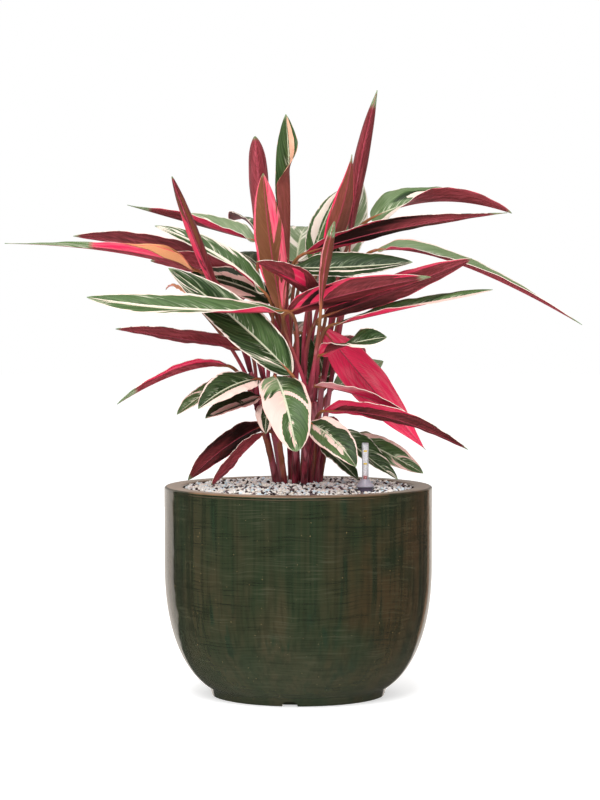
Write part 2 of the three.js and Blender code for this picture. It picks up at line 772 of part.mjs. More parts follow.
plant.add(piece("pot", makePot(), FINISHES.glaze));
plant.add(piece("granule_fill", makeGranuleFill(gaugeHole), FINISHES.granules));
plant.add(piece("root_ball", makeRootBall(caneHoles), FINISHES.roots));
plant.add(piece("gravel_top", makeGravelTop([caneHoles, gaugeHole]), FINISHES.granules));
plant.add(piece("gauge_body", makeGaugeBody(), FINISHES.gaugeGrey));
plant.add(piece("gauge_sight_tube", makeSightTube(), FINISHES.clear));
plant.add(piece("gauge_float", makeGaugeFloat(), FINISHES.indicator));
for (const shoot of SHOOTS) {
  plant.add(piece(shoot.name, makeShoot(shoot), FINISHES.leaf));
}

export default plant;
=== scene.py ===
"""A prayer plant with long patterned leaves, in mineral granules in a glazed pot.

Metres, +Z up, the origin in the middle of the pot's underside and -Y to the front. The sizes of
the plant are kept in millimetres, as a grower's plan gives them, and are turned into metres once.
"""

import logging
import math
from dataclasses import dataclass, field
from enum import Enum
from typing import NamedTuple

import bpy
import numpy as np
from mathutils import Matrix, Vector


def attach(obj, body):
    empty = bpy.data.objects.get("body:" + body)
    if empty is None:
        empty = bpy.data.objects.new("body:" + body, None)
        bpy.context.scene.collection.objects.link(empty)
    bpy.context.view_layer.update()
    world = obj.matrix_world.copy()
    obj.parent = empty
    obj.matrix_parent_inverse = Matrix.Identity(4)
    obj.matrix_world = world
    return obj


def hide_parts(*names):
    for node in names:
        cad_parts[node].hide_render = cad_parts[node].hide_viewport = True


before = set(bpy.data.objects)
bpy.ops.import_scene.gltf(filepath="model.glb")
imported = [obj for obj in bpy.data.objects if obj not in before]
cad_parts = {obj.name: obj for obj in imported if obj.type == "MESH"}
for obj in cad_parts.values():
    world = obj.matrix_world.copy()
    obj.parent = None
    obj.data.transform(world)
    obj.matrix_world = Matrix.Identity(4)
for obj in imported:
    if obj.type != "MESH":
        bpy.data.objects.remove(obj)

log = logging.getLogger("plant")

MM = 0.001
SAME_SPOT = 0.001  # millimetres between points that count as one
CROWDING = 0.55  # how much finer a flat grid is towards its two ends
GOLDEN = 0.6180339  # steps of this share spread the blades' seeds evenly
Colour = tuple[float, float, float, float]


def tint(code: str) -> Colour:
    """The linear colour of a screen colour.

    Args:
        code: The screen colour as #rrggbb.

    Returns:
        Red, green, blue and alpha, linear.
    """
    parts = [int(code[at:at + 2], 16) / 255 for at in (1, 3, 5)]
    linear = [part / 12.92 if part <= 0.04045 else ((part + 0.055) / 1.055) ** 2.4
              for part in parts]
    return (*linear, 1.0)


def lerp(first: float, last: float, share: np.ndarray | float) -> np.ndarray | float:
    """A value between two others by its share of the way."""
    return first + (last - first) * share


def eased(value: np.ndarray | float, low: float, high: float) -> np.ndarray | float:
    """A smooth step from 0 below low to 1 above high."""
    share = np.clip((value - low) / (high - low), 0, 1)
    return share * share * (3 - 2 * share)


# ---- shader writing


class Wire:
    """A value socket whose Python arithmetic becomes Math nodes."""

    def __init__(self, paint: "Paint", socket: bpy.types.NodeSocket) -> None:
        """Keep the socket and the paint that it belongs to."""
        self.paint = paint
        self.socket = socket

    def math(self, operation: str, *others: "Wire | float", turned: bool = False) -> "Wire":
        """A Math node on this value.

        Args:
            operation: Blender's name of the operation.
            others: The operation's other values.
            turned: Whether this value comes second.

        Returns:
            The result.
        """
        values = [self, *others]
        if turned:
            values.reverse()
        made = self.paint.node("ShaderNodeMath", {"operation": operation}, dict(enumerate(values)))
        return Wire(self.paint, made.outputs[0])

    def __add__(self, other: "Wire | float") -> "Wire":
        """This value plus another."""
        return self.math("ADD", other)

    __radd__ = __add__

    def __sub__(self, other: "Wire | float") -> "Wire":
        """This value less another."""
        return self.math("SUBTRACT", other)

    def __rsub__(self, other: "Wire | float") -> "Wire":
        """Another value less this one."""
        return self.math("SUBTRACT", other, turned=True)

    def __mul__(self, other: "Wire | float") -> "Wire":
        """This value times another."""
        return self.math("MULTIPLY", other)

    __rmul__ = __mul__

    def __pow__(self, other: float) -> "Wire":
        """This value to a power."""
        return self.math("POWER", other)

    def __abs__(self) -> "Wire":
        """This value without its sign."""
        return self.math("ABSOLUTE")

    def most(self, other: "Wire | float") -> "Wire":
        """The larger of this value and another."""
        return self.math("MAXIMUM", other)

    def least(self, other: "Wire | float") -> "Wire":
        """The smaller of this value and another."""
        return self.math("MINIMUM", other)

    def smooth(self, low: float, high: float) -> "Wire":
        """A smooth step of this value from 0 at low to 1 at high.

        Args:
            low: Where it starts.
            high: Where it ends, which may be below low.

        Returns:
            The step.
        """
        settings = {"interpolation_type": "SMOOTHSTEP", "clamp": True}
        values = {"Value": self, "From Min": low, "From Max": high, "To Min": 0.0, "To Max": 1.0}
        made = self.paint.node("ShaderNodeMapRange", settings, values)
        return Wire(self.paint, made.outputs[0])


Value = Wire | float


class Paint:
    """One material and the nodes that it is made of."""

    def __init__(self, name: str) -> None:
        """Start an empty material.

        Args:
            name: The material's name.
        """
        self.material = bpy.data.materials.new(name)
        self.material.use_nodes = True
        self.tree = self.material.node_tree
        self.tree.nodes.clear()

    def node(self, kind: str, settings: dict | None = None,
             inputs: dict | None = None) -> bpy.types.Node:
        """Add a node.

        Args:
            kind: The node's type.
            settings: Its own settings, and under "stops" a ramp's positions and colours.
            inputs: Values or links of its sockets, by name or number.

        Returns:
            The node.
        """
        made = self.tree.nodes.new(kind)
        for key, value in (settings or {}).items():
            if key == "stops":
                self._set_stops(made.color_ramp, value)
            else:
                setattr(made, key, value)
        for key, value in (inputs or {}).items():
            source = value.socket if isinstance(value, Wire) else value
            if isinstance(source, bpy.types.NodeSocket):
                self.tree.links.new(source, made.inputs[key])
            else:
                made.inputs[key].default_value = source
        return made

    @staticmethod
    def _set_stops(ramp: bpy.types.ColorRamp, stops: list[tuple[float, Colour]]) -> None:
        """Write a ramp's stops.

        Args:
            ramp: The ramp.
            stops: Positions and colours in order.
        """
        while len(ramp.elements) < len(stops):
            ramp.elements.new(1.0)
        for element, (position, colour) in zip(ramp.elements, stops):
            element.position = position
            element.color = colour

    def ramp(self, factor: Wire, stops: list[tuple[float, Colour]]) -> bpy.types.NodeSocket:
        """A colour picked from a row of colours by a value."""
        made = self.node("ShaderNodeValToRGB", {"stops": stops}, {0: factor})
        return made.outputs[0]

    def mix(self, factor: Value, first: object, second: object,
            blend: str = "MIX") -> bpy.types.NodeSocket:
        """Two colours mixed.

        Args:
            factor: How much of the second colour shows.
            first: The first colour or its socket.
            second: The second colour or its socket.
            blend: Blender's name of the way to blend.

        Returns:
            The mixed colour's socket.
        """
        settings = {"data_type": "RGBA", "blend_type": blend, "clamp_factor": True}
        made = self.node("ShaderNodeMix", settings, {0: factor, 6: first, 7: second})
        return made.outputs[2]

    def vector(self, x: Value, y: Value, z: Value) -> bpy.types.NodeSocket:
        """A vector of three values."""
        return self.node("ShaderNodeCombineXYZ", None, {0: x, 1: y, 2: z}).outputs[0]

    def split(self, source: bpy.types.NodeSocket) -> tuple[Wire, Wire, Wire]:
        """The three parts of a vector."""
        made = self.node("ShaderNodeSeparateXYZ", None, {0: source})
        return tuple(Wire(self, out) for out in made.outputs)

    def unrolled(self) -> tuple[Wire, Wire]:
        """How far across and along its flat grid each point is."""
        made = self.node("ShaderNodeUVMap", {"uv_map": "UVMap"})
        return self.split(made.outputs[0])[:2]

    def marks(self, name: str) -> bpy.types.Node:
        """What the points of the mesh say under a name."""
        return self.node("ShaderNodeAttribute", {"attribute_name": name})

    def place(self) -> tuple[bpy.types.NodeSocket, Wire, Wire, Wire]:
        """The object's own coordinates: as a vector, and as x, y and z."""
        spot = self.node("ShaderNodeTexCoord").outputs["Object"]
        return (spot, *self.split(spot))

    def stretched(self, spot: bpy.types.NodeSocket, scale: tuple[float, float, float],
                  shift: tuple[float, float, float] = (0, 0, 0)) -> bpy.types.NodeSocket:
        """Coordinates scaled and shifted along each axis."""
        return self.node("ShaderNodeMapping", None, {0: spot, 1: shift, 3: scale}).outputs[0]

    def noise(self, spot: bpy.types.NodeSocket, scale: float = 1.0, detail: float = 2.0,
              rough: float = 0.5) -> Wire:
        """Soft noise around a half.

        Args:
            spot: Where the noise is read.
            scale: How many of its cells there are to a unit.
            detail: How many finer layers it has.
            rough: How strong those are.

        Returns:
            The noise's value.
        """
        values = {"Vector": spot, "Scale": scale, "Detail": detail, "Roughness": rough}
        return Wire(self, self.node("ShaderNodeTexNoise", None, values).outputs[0])

    def bump(self, height: Wire, distance: float, strength: float = 1.0) -> bpy.types.NodeSocket:
        """A relief from a height.

        Args:
            height: The height, from 0 to 1.
            distance: How many metres 1 stands for.
            strength: How much of the relief shows.

        Returns:
            The normal's socket.
        """
        values = {"Height": height, "Distance": distance, "Strength": strength}
        return self.node("ShaderNodeBump", None, values).outputs[0]

    def finished(self, **sockets: object) -> bpy.types.Material:
        """End the material in a surface shader.

        Args:
            sockets: The shader's sockets, with _ for a space in their names.

        Returns:
            The material.
        """
        values = {name.replace("_", " "): value for name, value in sockets.items()}
        shader = self.node("ShaderNodeBsdfPrincipled", None, values)
        self.node("ShaderNodeOutputMaterial", None, {0: shader.outputs[0]})
        return self.material


# ---- mesh work


def pick_only(*pieces: bpy.types.Object) -> None:
    """Select some pieces and nothing else, the first one active.

    Args:
        pieces: The pieces, or none.
    """
    if bpy.context.mode != "OBJECT":
        bpy.ops.object.mode_set(mode="OBJECT")
    bpy.ops.object.select_all(action="DESELECT")
    for piece in pieces:
        piece.select_set(True)
    bpy.context.view_layer.objects.active = pieces[0] if pieces else None


def points_of(piece: bpy.types.Object) -> np.ndarray:
    """A piece's points, one a row.

    Args:
        piece: The piece.

    Returns:
        Their places in the piece.
    """
    flat = np.empty(len(piece.data.vertices) * 3)
    piece.data.vertices.foreach_get("co", flat)
    return flat.reshape(-1, 3)


def move_points(piece: bpy.types.Object, points: np.ndarray) -> None:
    """Put a piece's points where an array says."""
    piece.data.vertices.foreach_set("co", points.astype(np.float32).ravel())
    piece.data.update()


def copied(piece: bpy.types.Object, name: str) -> bpy.types.Object:
    """A copy of a piece with a mesh of its own.

    Args:
        piece: The piece.
        name: The copy's name.

    Returns:
        The copy, in the scene.
    """
    copy = bpy.data.objects.new(name, piece.data.copy())
    bpy.context.scene.collection.objects.link(copy)
    return copy


def dressed(piece: bpy.types.Object, *materials: bpy.types.Material) -> bpy.types.Object:
    """Give a piece its materials.

    Args:
        piece: The piece.
        materials: The materials, in the order of its slots.

    Returns:
        The piece.
    """
    piece.data.materials.clear()
    for material in materials:
        piece.data.materials.append(material)
    return piece


def applied(piece: bpy.types.Object, kind: str, **settings: object) -> bpy.types.Object:
    """Add a modifier to a piece and apply it.

    Args:
        piece: The piece.
        kind: The modifier's type.
        settings: The modifier's settings.

    Returns:
        The piece.
    """
    pick_only(piece)
    modifier = piece.modifiers.new(kind.lower(), kind)
    for key, value in settings.items():
        setattr(modifier, key, value)
    bpy.ops.object.modifier_apply(modifier=modifier.name)
    return piece


def welded(piece: bpy.types.Object, outward: bool = True) -> bpy.types.Object:
    """Merge a piece's doubled points and turn its faces outward.

    Args:
        piece: The piece.
        outward: Whether its faces have to be turned.

    Returns:
        The piece.
    """
    pick_only(piece)
    bpy.ops.object.mode_set(mode="EDIT")
    bpy.ops.mesh.select_all(action="SELECT")
    bpy.ops.mesh.remove_doubles(threshold=SAME_SPOT * MM)
    if outward:
        bpy.ops.mesh.normals_make_consistent(inside=False)
    bpy.ops.object.mode_set(mode="OBJECT")
    return piece


def smoothed(piece: bpy.types.Object, degrees: float = 40.0) -> bpy.types.Object:
    """Shade a piece smooth, but for the edges that turn by more than an angle.

    Args:
        piece: The piece.
        degrees: The angle.

    Returns:
        The piece.
    """
    pick_only(piece)
    bpy.ops.object.shade_smooth_by_angle(angle=math.radians(degrees))
    return piece


def joined(name: str, pieces: list[bpy.types.Object]) -> bpy.types.Object:
    """Join pieces into one.

    Args:
        name: The joined piece's name.
        pieces: The pieces.

    Returns:
        The joined piece.
    """
    pick_only(*pieces)
    if len(pieces) > 1:
        bpy.ops.object.join()
    pieces[0].name = name
    pieces[0].data.name = name
    return pieces[0]


def grid(name: str, columns: int, rows: int) -> bpy.types.Object:
    """A flat grid one unit wide and long, finer towards its two ends.

    Args:
        name: The piece's name.
        columns: How many faces it has across.
        rows: How many faces it has along.

    Returns:
        The grid, with a UV map that says how far across and along each point is.
    """
    pick_only()
    bpy.ops.mesh.primitive_grid_add(x_subdivisions=columns, y_subdivisions=rows, size=1,
                                    calc_uvs=True)
    piece = bpy.context.object
    piece.name = name
    spots = points_of(piece)
    even = spots[:, 1] + 0.5
    spots[:, 1] = lerp(even, (1 - np.cos(math.pi * even)) / 2, CROWDING) - 0.5
    move_points(piece, spots)
    corners = np.empty(len(piece.data.loops), int)
    piece.data.loops.foreach_get("vertex_index", corners)
    piece.data.uv_layers[0].name = "UVMap"
    piece.data.uv_layers[0].data.foreach_set("uv", (spots[corners, :2] + 0.5).ravel())
    return piece


def profile_points(stretches: list[list[tuple[float, float]]]) -> np.ndarray:
    """One outline from several stretches of radius and height, without doubled points.

    Args:
        stretches: The stretches in order, in millimetres.

    Returns:
        Radius and height of each point, in metres.
    """
    points = [stretches[0][0]]
    for stretch in stretches:
        for spot in stretch:
            if math.dist(spot, points[-1]) > SAME_SPOT:
                points.append(spot)
    return np.array(points) * MM


def arc(radius: float, height: float, reach: float, rise: float, start: float, end: float,
        steps: int) -> list[tuple[float, float]]:
    """Points of an ellipse's arc in an outline.

    Args:
        radius: The centre's distance from the axis.
        height: The centre's height.
        reach: The ellipse's half width.
        rise: The ellipse's half height.
        start: The first angle, in degrees.
        end: The last angle, in degrees.
        steps: How many pieces the arc has.

    Returns:
        Radius and height of each point.
    """
    angles = np.radians(np.linspace(start, end, steps + 1))
    return [(radius + reach * math.cos(a), height + rise * math.sin(a)) for a in angles]


def turned(name: str, outline: np.ndarray, steps: int, closed: bool = False,
           centre: tuple[float, float] = (0.0, 0.0)) -> bpy.types.Object:
    """A piece spun from its outline.

    Args:
        name: The piece's name.
        outline: Radius and height of its points, in metres, up the outside.
        steps: How many steps the turn has.
        closed: Whether the last point joins the first, away from the axis.
        centre: Where the axis stands.

    Returns:
        The closed piece, with its faces outward.
    """
    pick_only()
    bpy.ops.mesh.primitive_circle_add(vertices=len(outline), radius=0.1)
    piece = bpy.context.object
    piece.name = name
    points = np.zeros((len(outline), 3))
    points[:, 0] = outline[:, 0] + centre[0]
    points[:, 1] = centre[1]
    points[:, 2] = outline[:, 1]
    move_points(piece, points)
    if not closed:
        last = {0, len(outline) - 1}
        for edge in piece.data.edges:
            edge.select = set(edge.vertices) == last
        for point in piece.data.vertices:
            point.select = point.index in last
        bpy.ops.object.mode_set(mode="EDIT")
        bpy.ops.mesh.select_mode(type="EDGE")
        bpy.ops.mesh.delete(type="EDGE_FACE")
        bpy.ops.object.mode_set(mode="OBJECT")
    bpy.ops.object.mode_set(mode="EDIT")
    bpy.ops.mesh.select_mode(type="VERT")
    bpy.ops.mesh.select_all(action="SELECT")
    bpy.ops.mesh.spin(steps=steps, angle=2 * math.pi, center=(*centre, 0), axis=(0, 0, 1))
    bpy.ops.object.mode_set(mode="OBJECT")
    return welded(piece)


@dataclass(frozen=True)
class Curve:
    """A smooth curve led by its points: the ends are on it and the others pull at it."""

    points: tuple[np.ndarray, ...]

    def at(self, shares: np.ndarray) -> np.ndarray:
        """The places at some shares of the curve, one a row.

        Args:
            shares: From 0 at its start to 1 at its end.

        Returns:
            The places.
        """
        share = np.asarray(shares, float)[:, None]
        level = [point[None, :] for point in self.points]
        while len(level) > 1:
            level = [first * (1 - share) + last * share for first, last in zip(level, level[1:])]
        return level[0] + 0 * share

    def along(self, shares: np.ndarray) -> np.ndarray:
        """The directions at some shares of the curve, one a row, of length 1.

        Args:
            shares: From 0 at its start to 1 at its end.

        Returns:
            The directions.
        """
        steps = tuple(last - first for first, last in zip(self.points, self.points[1:]))
        ways = Curve(steps).at(shares)
        return ways / np.linalg.norm(ways, axis=1, keepdims=True)


# ---- finishes of the plant


class Face(Enum):
    """The two faces of a blade."""

    UPPER = "upper"
    UNDER = "under"


class Lines(NamedTuple):
    """The lines of a blade's pattern at each point."""

    wide: Wire  # how far from the midrib, 1 at the margin
    streak: Wire  # the middle of three noises along the lanes
    thread: Wire  # the finest of them
    sector: Wire  # the broadest
    vein: Wire
    rim: Wire  # the pale margin
    midrib: Wire


@dataclass(frozen=True)
class BladeFinish:
    """The two faces of a patterned blade.

    The pattern runs in lanes that leave the midrib and bend towards the tip, as the side veins do.
    """

    forward: float = 0.12  # how far a lane runs towards the tip at once
    bend: float = 0.18  # and how far more by the margin
    sectors: float = 5.0  # broad pale sectors in a blade's length
    streaks: float = 30.0
    threads: float = 95.0
    veins: float = 46.0
    deep: Colour = tint("#1a2e0e")
    green: Colour = tint("#55703f")
    sage: Colour = tint("#a3ad8d")
    cream: Colour = tint("#efe6d8")
    blush: Colour = tint("#e6bab0")
    salmon: Colour = tint("#e8a06e")
    leafy: Colour = tint("#5f7d48")
    rib: Colour = tint("#d6dabd")
    dusk: Colour = tint("#260908")
    maroon: Colour = tint("#822c31")
    brown: Colour = tint("#74452a")
    rose: Colour = tint("#c05462")
    hot: Colour = tint("#f01d58")
    pale_pink: Colour = tint("#f0aeb0")

    def material(self, face: Face) -> bpy.types.Material:
        """The material of one face.

        Args:
            face: Which face.

        Returns:
            The material.
        """
        paint = Paint(f"leaf_{face.value}")
        across, along = paint.unrolled()
        half = across * 2 - 1
        wide = abs(half)
        side = half.math("SIGN")
        lane = along - wide * self.forward - wide * wide * self.bend
        light = paint.marks("leaf_light")
        dark = paint.marks("leaf_dark")
        seed = Wire(paint, light.outputs["Alpha"])
        rim_width = Wire(paint, dark.outputs["Alpha"])
        bias, flush, tone = paint.split(light.outputs["Color"])
        under_bias, dusk, glow = paint.split(dark.outputs["Color"])
        tail = Wire(paint, paint.marks("leaf_tail").outputs["Fac"])
        sector = paint.noise(paint.vector(lane * self.sectors, side * 3 + seed * 13, wide * 0.6),
                             detail=1)
        streak = paint.noise(paint.vector(lane * self.streaks, side * 2 + seed * 7, wide * 1.4))
        thread = paint.noise(paint.vector(lane * self.threads, side + seed * 5, wide * 3), detail=1)
        pattern = sector * 0.9 + streak * 0.42 + thread * 0.14
        rim_edge = wide + (streak - 0.5) * 0.2 + rim_width
        rim = rim_edge.smooth(1.0, 1.05)
        vein_phase = (lane * self.veins + streak * 0.6).math("FRACT")
        vein = abs(vein_phase - 0.5).smooth(0.36, 0.5) * wide.smooth(0.02, 0.1)
        midrib = 1 - wide.smooth(0.025, 0.07)
        lines = Lines(wide, streak, thread, sector, vein, rim, midrib)
        if face is Face.UPPER:
            colour = self._upper(paint, lines, pattern + bias, flush, tone)
            rough = 0.42
        else:
            band = paint.noise(paint.vector(along * 5, half * 5 + seed * 9, side), detail=2)
            colour = self._under(paint, lines, pattern + under_bias, band, flush, dusk, glow)
            rough = 0.5
        tip = paint.mix(streak.smooth(0.4, 0.75) * 0.55, self.leafy, self.cream)
        colour = paint.mix(tail, colour, tip)
        height = streak * 0.5 + thread * 0.2 - vein * 0.5 - midrib * 0.8
        return paint.finished(
            Base_Color=colour,
            Roughness=(thread * 0.16 + (rough - 0.08)),
            Specular_IOR_Level=0.3,
            Normal=paint.bump(height, 0.0006, 0.45),
        )

    def _upper(self, paint: Paint, lines: Lines, pattern: Wire, flush: Wire,
               tone: Wire) -> bpy.types.NodeSocket:
        """The upper face: green, sage and pale sectors, feathered from the midrib.

        Args:
            paint: The material.
            lines: The pattern's lines.
            pattern: Where the face is pale, past about 0.8.
            flush: How pink the pale is.
            tone: How light the green is.

        Returns:
            The colour.
        """
        wide, streak, thread, sector, vein, rim, midrib = lines
        green = paint.mix(tone + (streak - 0.5) * 1.3, self.deep, self.green)
        green = paint.mix(tone - 0.8 + (thread - 0.5) * 0.9, green, self.sage)
        green = paint.mix(thread.smooth(0.56, 0.7) * (1 - wide) * 0.3, green, self.sage)
        green = paint.mix(vein * 0.35, green, self.deep)
        sage = pattern.smooth(0.735, 0.765)
        colour = paint.mix(sage * (0.35 + tone * 0.4) * thread.smooth(0.3, 0.5), green, self.sage)
        blushing = flush + (sector - 0.5) * 0.8 + (thread - 0.5) * 0.3
        pale = paint.mix(blushing, self.cream, self.blush)
        pale = paint.mix((flush - 1).smooth(0, 1), pale, self.salmon)
        pale = paint.mix(vein * 0.22, pale, self.sage)
        colour = paint.mix(pattern.smooth(0.80, 0.825), colour, pale)
        plume = (1 - wide.smooth(0.1, 0.45)) * thread.smooth(0.55, 0.66) * sector.smooth(0.42, 0.55)
        colour = paint.mix(plume * 0.6, colour, self.rib)
        colour = paint.mix(rim, colour, pale)
        return paint.mix(midrib * 0.85, colour, self.rib)

    def _under(self, paint: Paint, lines: Lines, pattern: Wire, band: Wire, flush: Wire,
               dusk: Wire, glow: Wire) -> bpy.types.NodeSocket:
        """The under face: maroon, with pink where the upper face is pale.

        Args:
            paint: The material.
            lines: The pattern's lines.
            pattern: Where the face is pink, past about 0.8.
            band: A soft noise over the whole face.
            flush: How brown the red is, and past 2 how orange.
            dusk: How dark the red is.
            glow: How hot the pink is.

        Returns:
            The colour.
        """
        _, streak, thread, _, vein, rim, midrib = lines
        red = paint.mix(dusk * 2 - 1.1 + (band - 0.5) * 1.6, self.maroon, self.dusk)
        red = paint.mix(1.15 - dusk * 2 + (0.5 - band) * 1.9, red, self.rose)
        red = paint.mix(thread.smooth(0.52, 0.66) * (0.7 - dusk * 0.7), red, self.rose)
        red = paint.mix(thread.smooth(0.46, 0.34) * 0.35, red, self.dusk)
        red = paint.mix(flush - 1 + (streak - 0.5) * 0.6, red, self.brown)
        red = paint.mix(flush - 2 + (thread - 0.5) * 0.5, red, self.salmon)
        red = paint.mix(vein * 0.25, red, self.dusk)
        pink = paint.mix(glow + (band - 0.5) * 1.1, self.pale_pink, self.hot)
        pink = paint.mix(dusk - 0.5, pink, self.maroon)
        pink = paint.mix(thread.smooth(0.46, 0.34) * 0.3, pink, self.maroon)
        pink = paint.mix(vein * 0.3, pink, self.maroon)
        colour = paint.mix(pattern.smooth(0.79, 0.83), red, pink)
        colour = paint.mix(rim * 0.8, colour, pink)
        return paint.mix(midrib * (0.5 - dusk * 0.45), colour, self.rose)


@dataclass(frozen=True)
class StemFinish:
    """The stalks, the ribs under the blades, and the canes."""

    wine: Colour = tint("#9a2d42")
    dark: Colour = tint("#4a1118")
    sheen: Colour = tint("#c0707a")
    olive: Colour = tint("#6e4526")
    orange: Colour = tint("#9c5f36")
    low: tuple[float, float] = (0.275, 0.25)  # heights over which a cane darkens downwards

    def stalk(self) -> bpy.types.Material:
        """A stalk: wine red low down, orange brown near the blade, and paler as the blade's rib.

        Returns:
            The material.
        """
        paint = Paint("leaf_stalk")
        _, along = paint.unrolled()
        spot, *_ = paint.place()
        grain = paint.noise(paint.stretched(spot, (260, 260, 40)), detail=3)
        share = along + (grain - 0.5) * 0.08
        colour = paint.ramp(share, [
            (0.0, self.dark), (0.12, self.wine), (0.32, self.olive), (0.44, self.orange),
            (0.52, self.wine), (1.0, self.wine),
        ])
        colour = paint.mix(grain.smooth(0.55, 0.75) * 0.5, colour, self.sheen)
        return paint.finished(Base_Color=colour, Roughness=grain * 0.3 + 0.28,
                              Normal=paint.bump(grain, 0.0004, 0.4))

    def cane(self) -> bpy.types.Material:
        """A cane: wine red with fine upright lines, brown ones among them.

        Returns:
            The material.
        """
        paint = Paint("leaf_cane")
        spot, _, _, height = paint.place()
        lines = paint.noise(paint.stretched(spot, (420, 420, 9)), detail=3)
        broad = paint.noise(paint.stretched(spot, (90, 90, 12)), detail=2)
        colour = paint.mix(lines.smooth(0.35, 0.7), self.dark, self.wine)
        colour = paint.mix(broad.smooth(0.52, 0.7) * 0.75, colour, self.sheen)
        colour = paint.mix(broad.smooth(0.36, 0.3) * lines.smooth(0.4, 0.6), colour, self.olive)
        kind = paint.noise(paint.stretched(spot, (46, 46, 1.2), (0, 5, 0)), detail=1)
        colour = paint.mix(kind.smooth(0.54, 0.62) * 0.6, colour, self.orange)
        colour = paint.mix(kind.smooth(0.44, 0.36) * 0.5, colour, self.sheen)
        colour = paint.mix(height.smooth(*self.low) * 0.3, colour, self.dark)
        return paint.finished(Base_Color=colour, Roughness=lines * 0.3 + 0.25,
                              Normal=paint.bump(lines, 0.0005, 0.5))


# ---- leaves


@dataclass(frozen=True)
class Patch:
    """A place on a blade where its pattern gains or loses pale."""

    side: int  # -1 left of the rib, 1 right of it, 0 both
    start: float  # along the blade, in lanes
    end: float
    inner: float = 0.0  # from the rib
    outer: float = 1.1  # to the margin
    gain: float = 0.4
    soft: float = 0.03
    slant: float = 0.0  # how much further to the tip it lies at the margin
    edge: float = 0.05  # softness towards the rib and the margin

    def weight(self, hand: np.ndarray, wide: np.ndarray, lane: np.ndarray) -> np.ndarray:
        """How much of the patch each point of a blade has.

        Args:
            hand: -1 left of the rib, 1 right of it.
            wide: How far from it, 1 at the margin.
            lane: How far along the blade, in lanes.

        Returns:
            The gain at each point.
        """
        lane = lane - self.slant * wide ** 2
        along = eased(lane, self.start - self.soft, self.start + self.soft)
        along *= 1 - eased(lane, self.end - self.soft, self.end + self.soft)
        out = eased(wide, self.inner - self.edge, self.inner + self.edge)
        out *= 1 - eased(wide, self.outer - self.edge, self.outer + self.edge)
        mine = 1.0 if self.side == 0 else (hand == self.side) * 1.0
        return self.gain * along * out * mine


@dataclass(frozen=True)
class Look:
    """How one blade is coloured. Seeds and patterns come from its number in the plant."""

    pale: float = -0.05  # more or less pale on the upper face
    flush: float = 0.3  # how pink that pale is, and past 1 how orange
    tone: float = 0.4  # the green, from deep to light, and past 1 to sage
    pink: float = -0.5  # more or less pink on the under face
    dusk: float = 0.55  # the under face's red, from rose to near black
    glow: float = 0.9  # its pink, from pale to hot
    rim: float = 0.08  # how wide the pale margin is
    tail: float = 0.99  # where along the blade its tip turns a pale green
    upper: tuple[Patch, ...] = ()  # places with more pale above
    under: tuple[Patch, ...] = ()  # places with more pink beneath
    shade: tuple[Patch, ...] = ()  # places with a lighter green
    warm: tuple[Patch, ...] = ()  # places with more flush
    dark: tuple[Patch, ...] = ()  # places with a darker red
    heat: tuple[Patch, ...] = ()  # places with a hotter pink


@dataclass(frozen=True)
class LeafPlan:
    """One leaf, in millimetres and degrees."""

    base: tuple[float, float, float]  # where the blade starts
    mid: tuple[float, float, float]
    tip: tuple[float, float, float]
    width: float
    turn: tuple[float, float]  # way its upper face looks at the base and tip: 0 front, 90 up
    left: tuple[float, float] = (15, 15)  # how far that half folds up, at the base and tip
    right: tuple[float, float] = (15, 15)
    opens: tuple[float, float] = (0, 1)  # shares of the blade between which the folds change
    belly: float = 0.42  # where along it is widest
    taper: float = 0.8
    look: Look = Look()


@dataclass(frozen=True)
class LeafForm:
    """What all leaves share, in millimetres."""

    stalk_root: float = 2.6
    stalk: float = 1.9
    rib: float = 0.65  # under the blade
    rib_tip: float = 0.3
    neck: float = 0.14  # share of the blade over which the stalk flattens
    rise: float = 0.5  # pull of a stalk along its cane
    arch: float = 0.22  # pull of a stalk along its blade
    tip_half: float = 0.45
    shoulder: float = 0.87  # least half width at the base, by the stalk's radius
    uneven: float = 0.02  # share of the half width
    uneven_waves: float = 23  # radians along the blade
    thickness: float = 0.55
    bulge: tuple[float, float] = (0.09, -0.1)  # rise of a half's middle, flat and steeply folded
    bulge_folds: tuple[float, float] = (25, 60)  # what flat and steep are, in degrees
    swing: float = 2.0
    swing_waves: float = 11
    ripple: float = 0.9
    ripples: tuple[tuple[float, float], ...] = ((33, 0.6), (58, 0.4))  # waves and their shares
    rib_sink: float = 0.85  # of the rib's radius
    tail_fade: tuple[float, float] = (-0.03, 0.01)  # round the place where a tip turns pale
    sheet_columns: int = 24
    sheet_rows: int = 84
    tube_sides: int = 10
    tube_rows: int = 46
    sharp: float = 50  # degrees past which an edge stays one
    stalk_part: float = 0.42  # of the tube's rows that are stalk


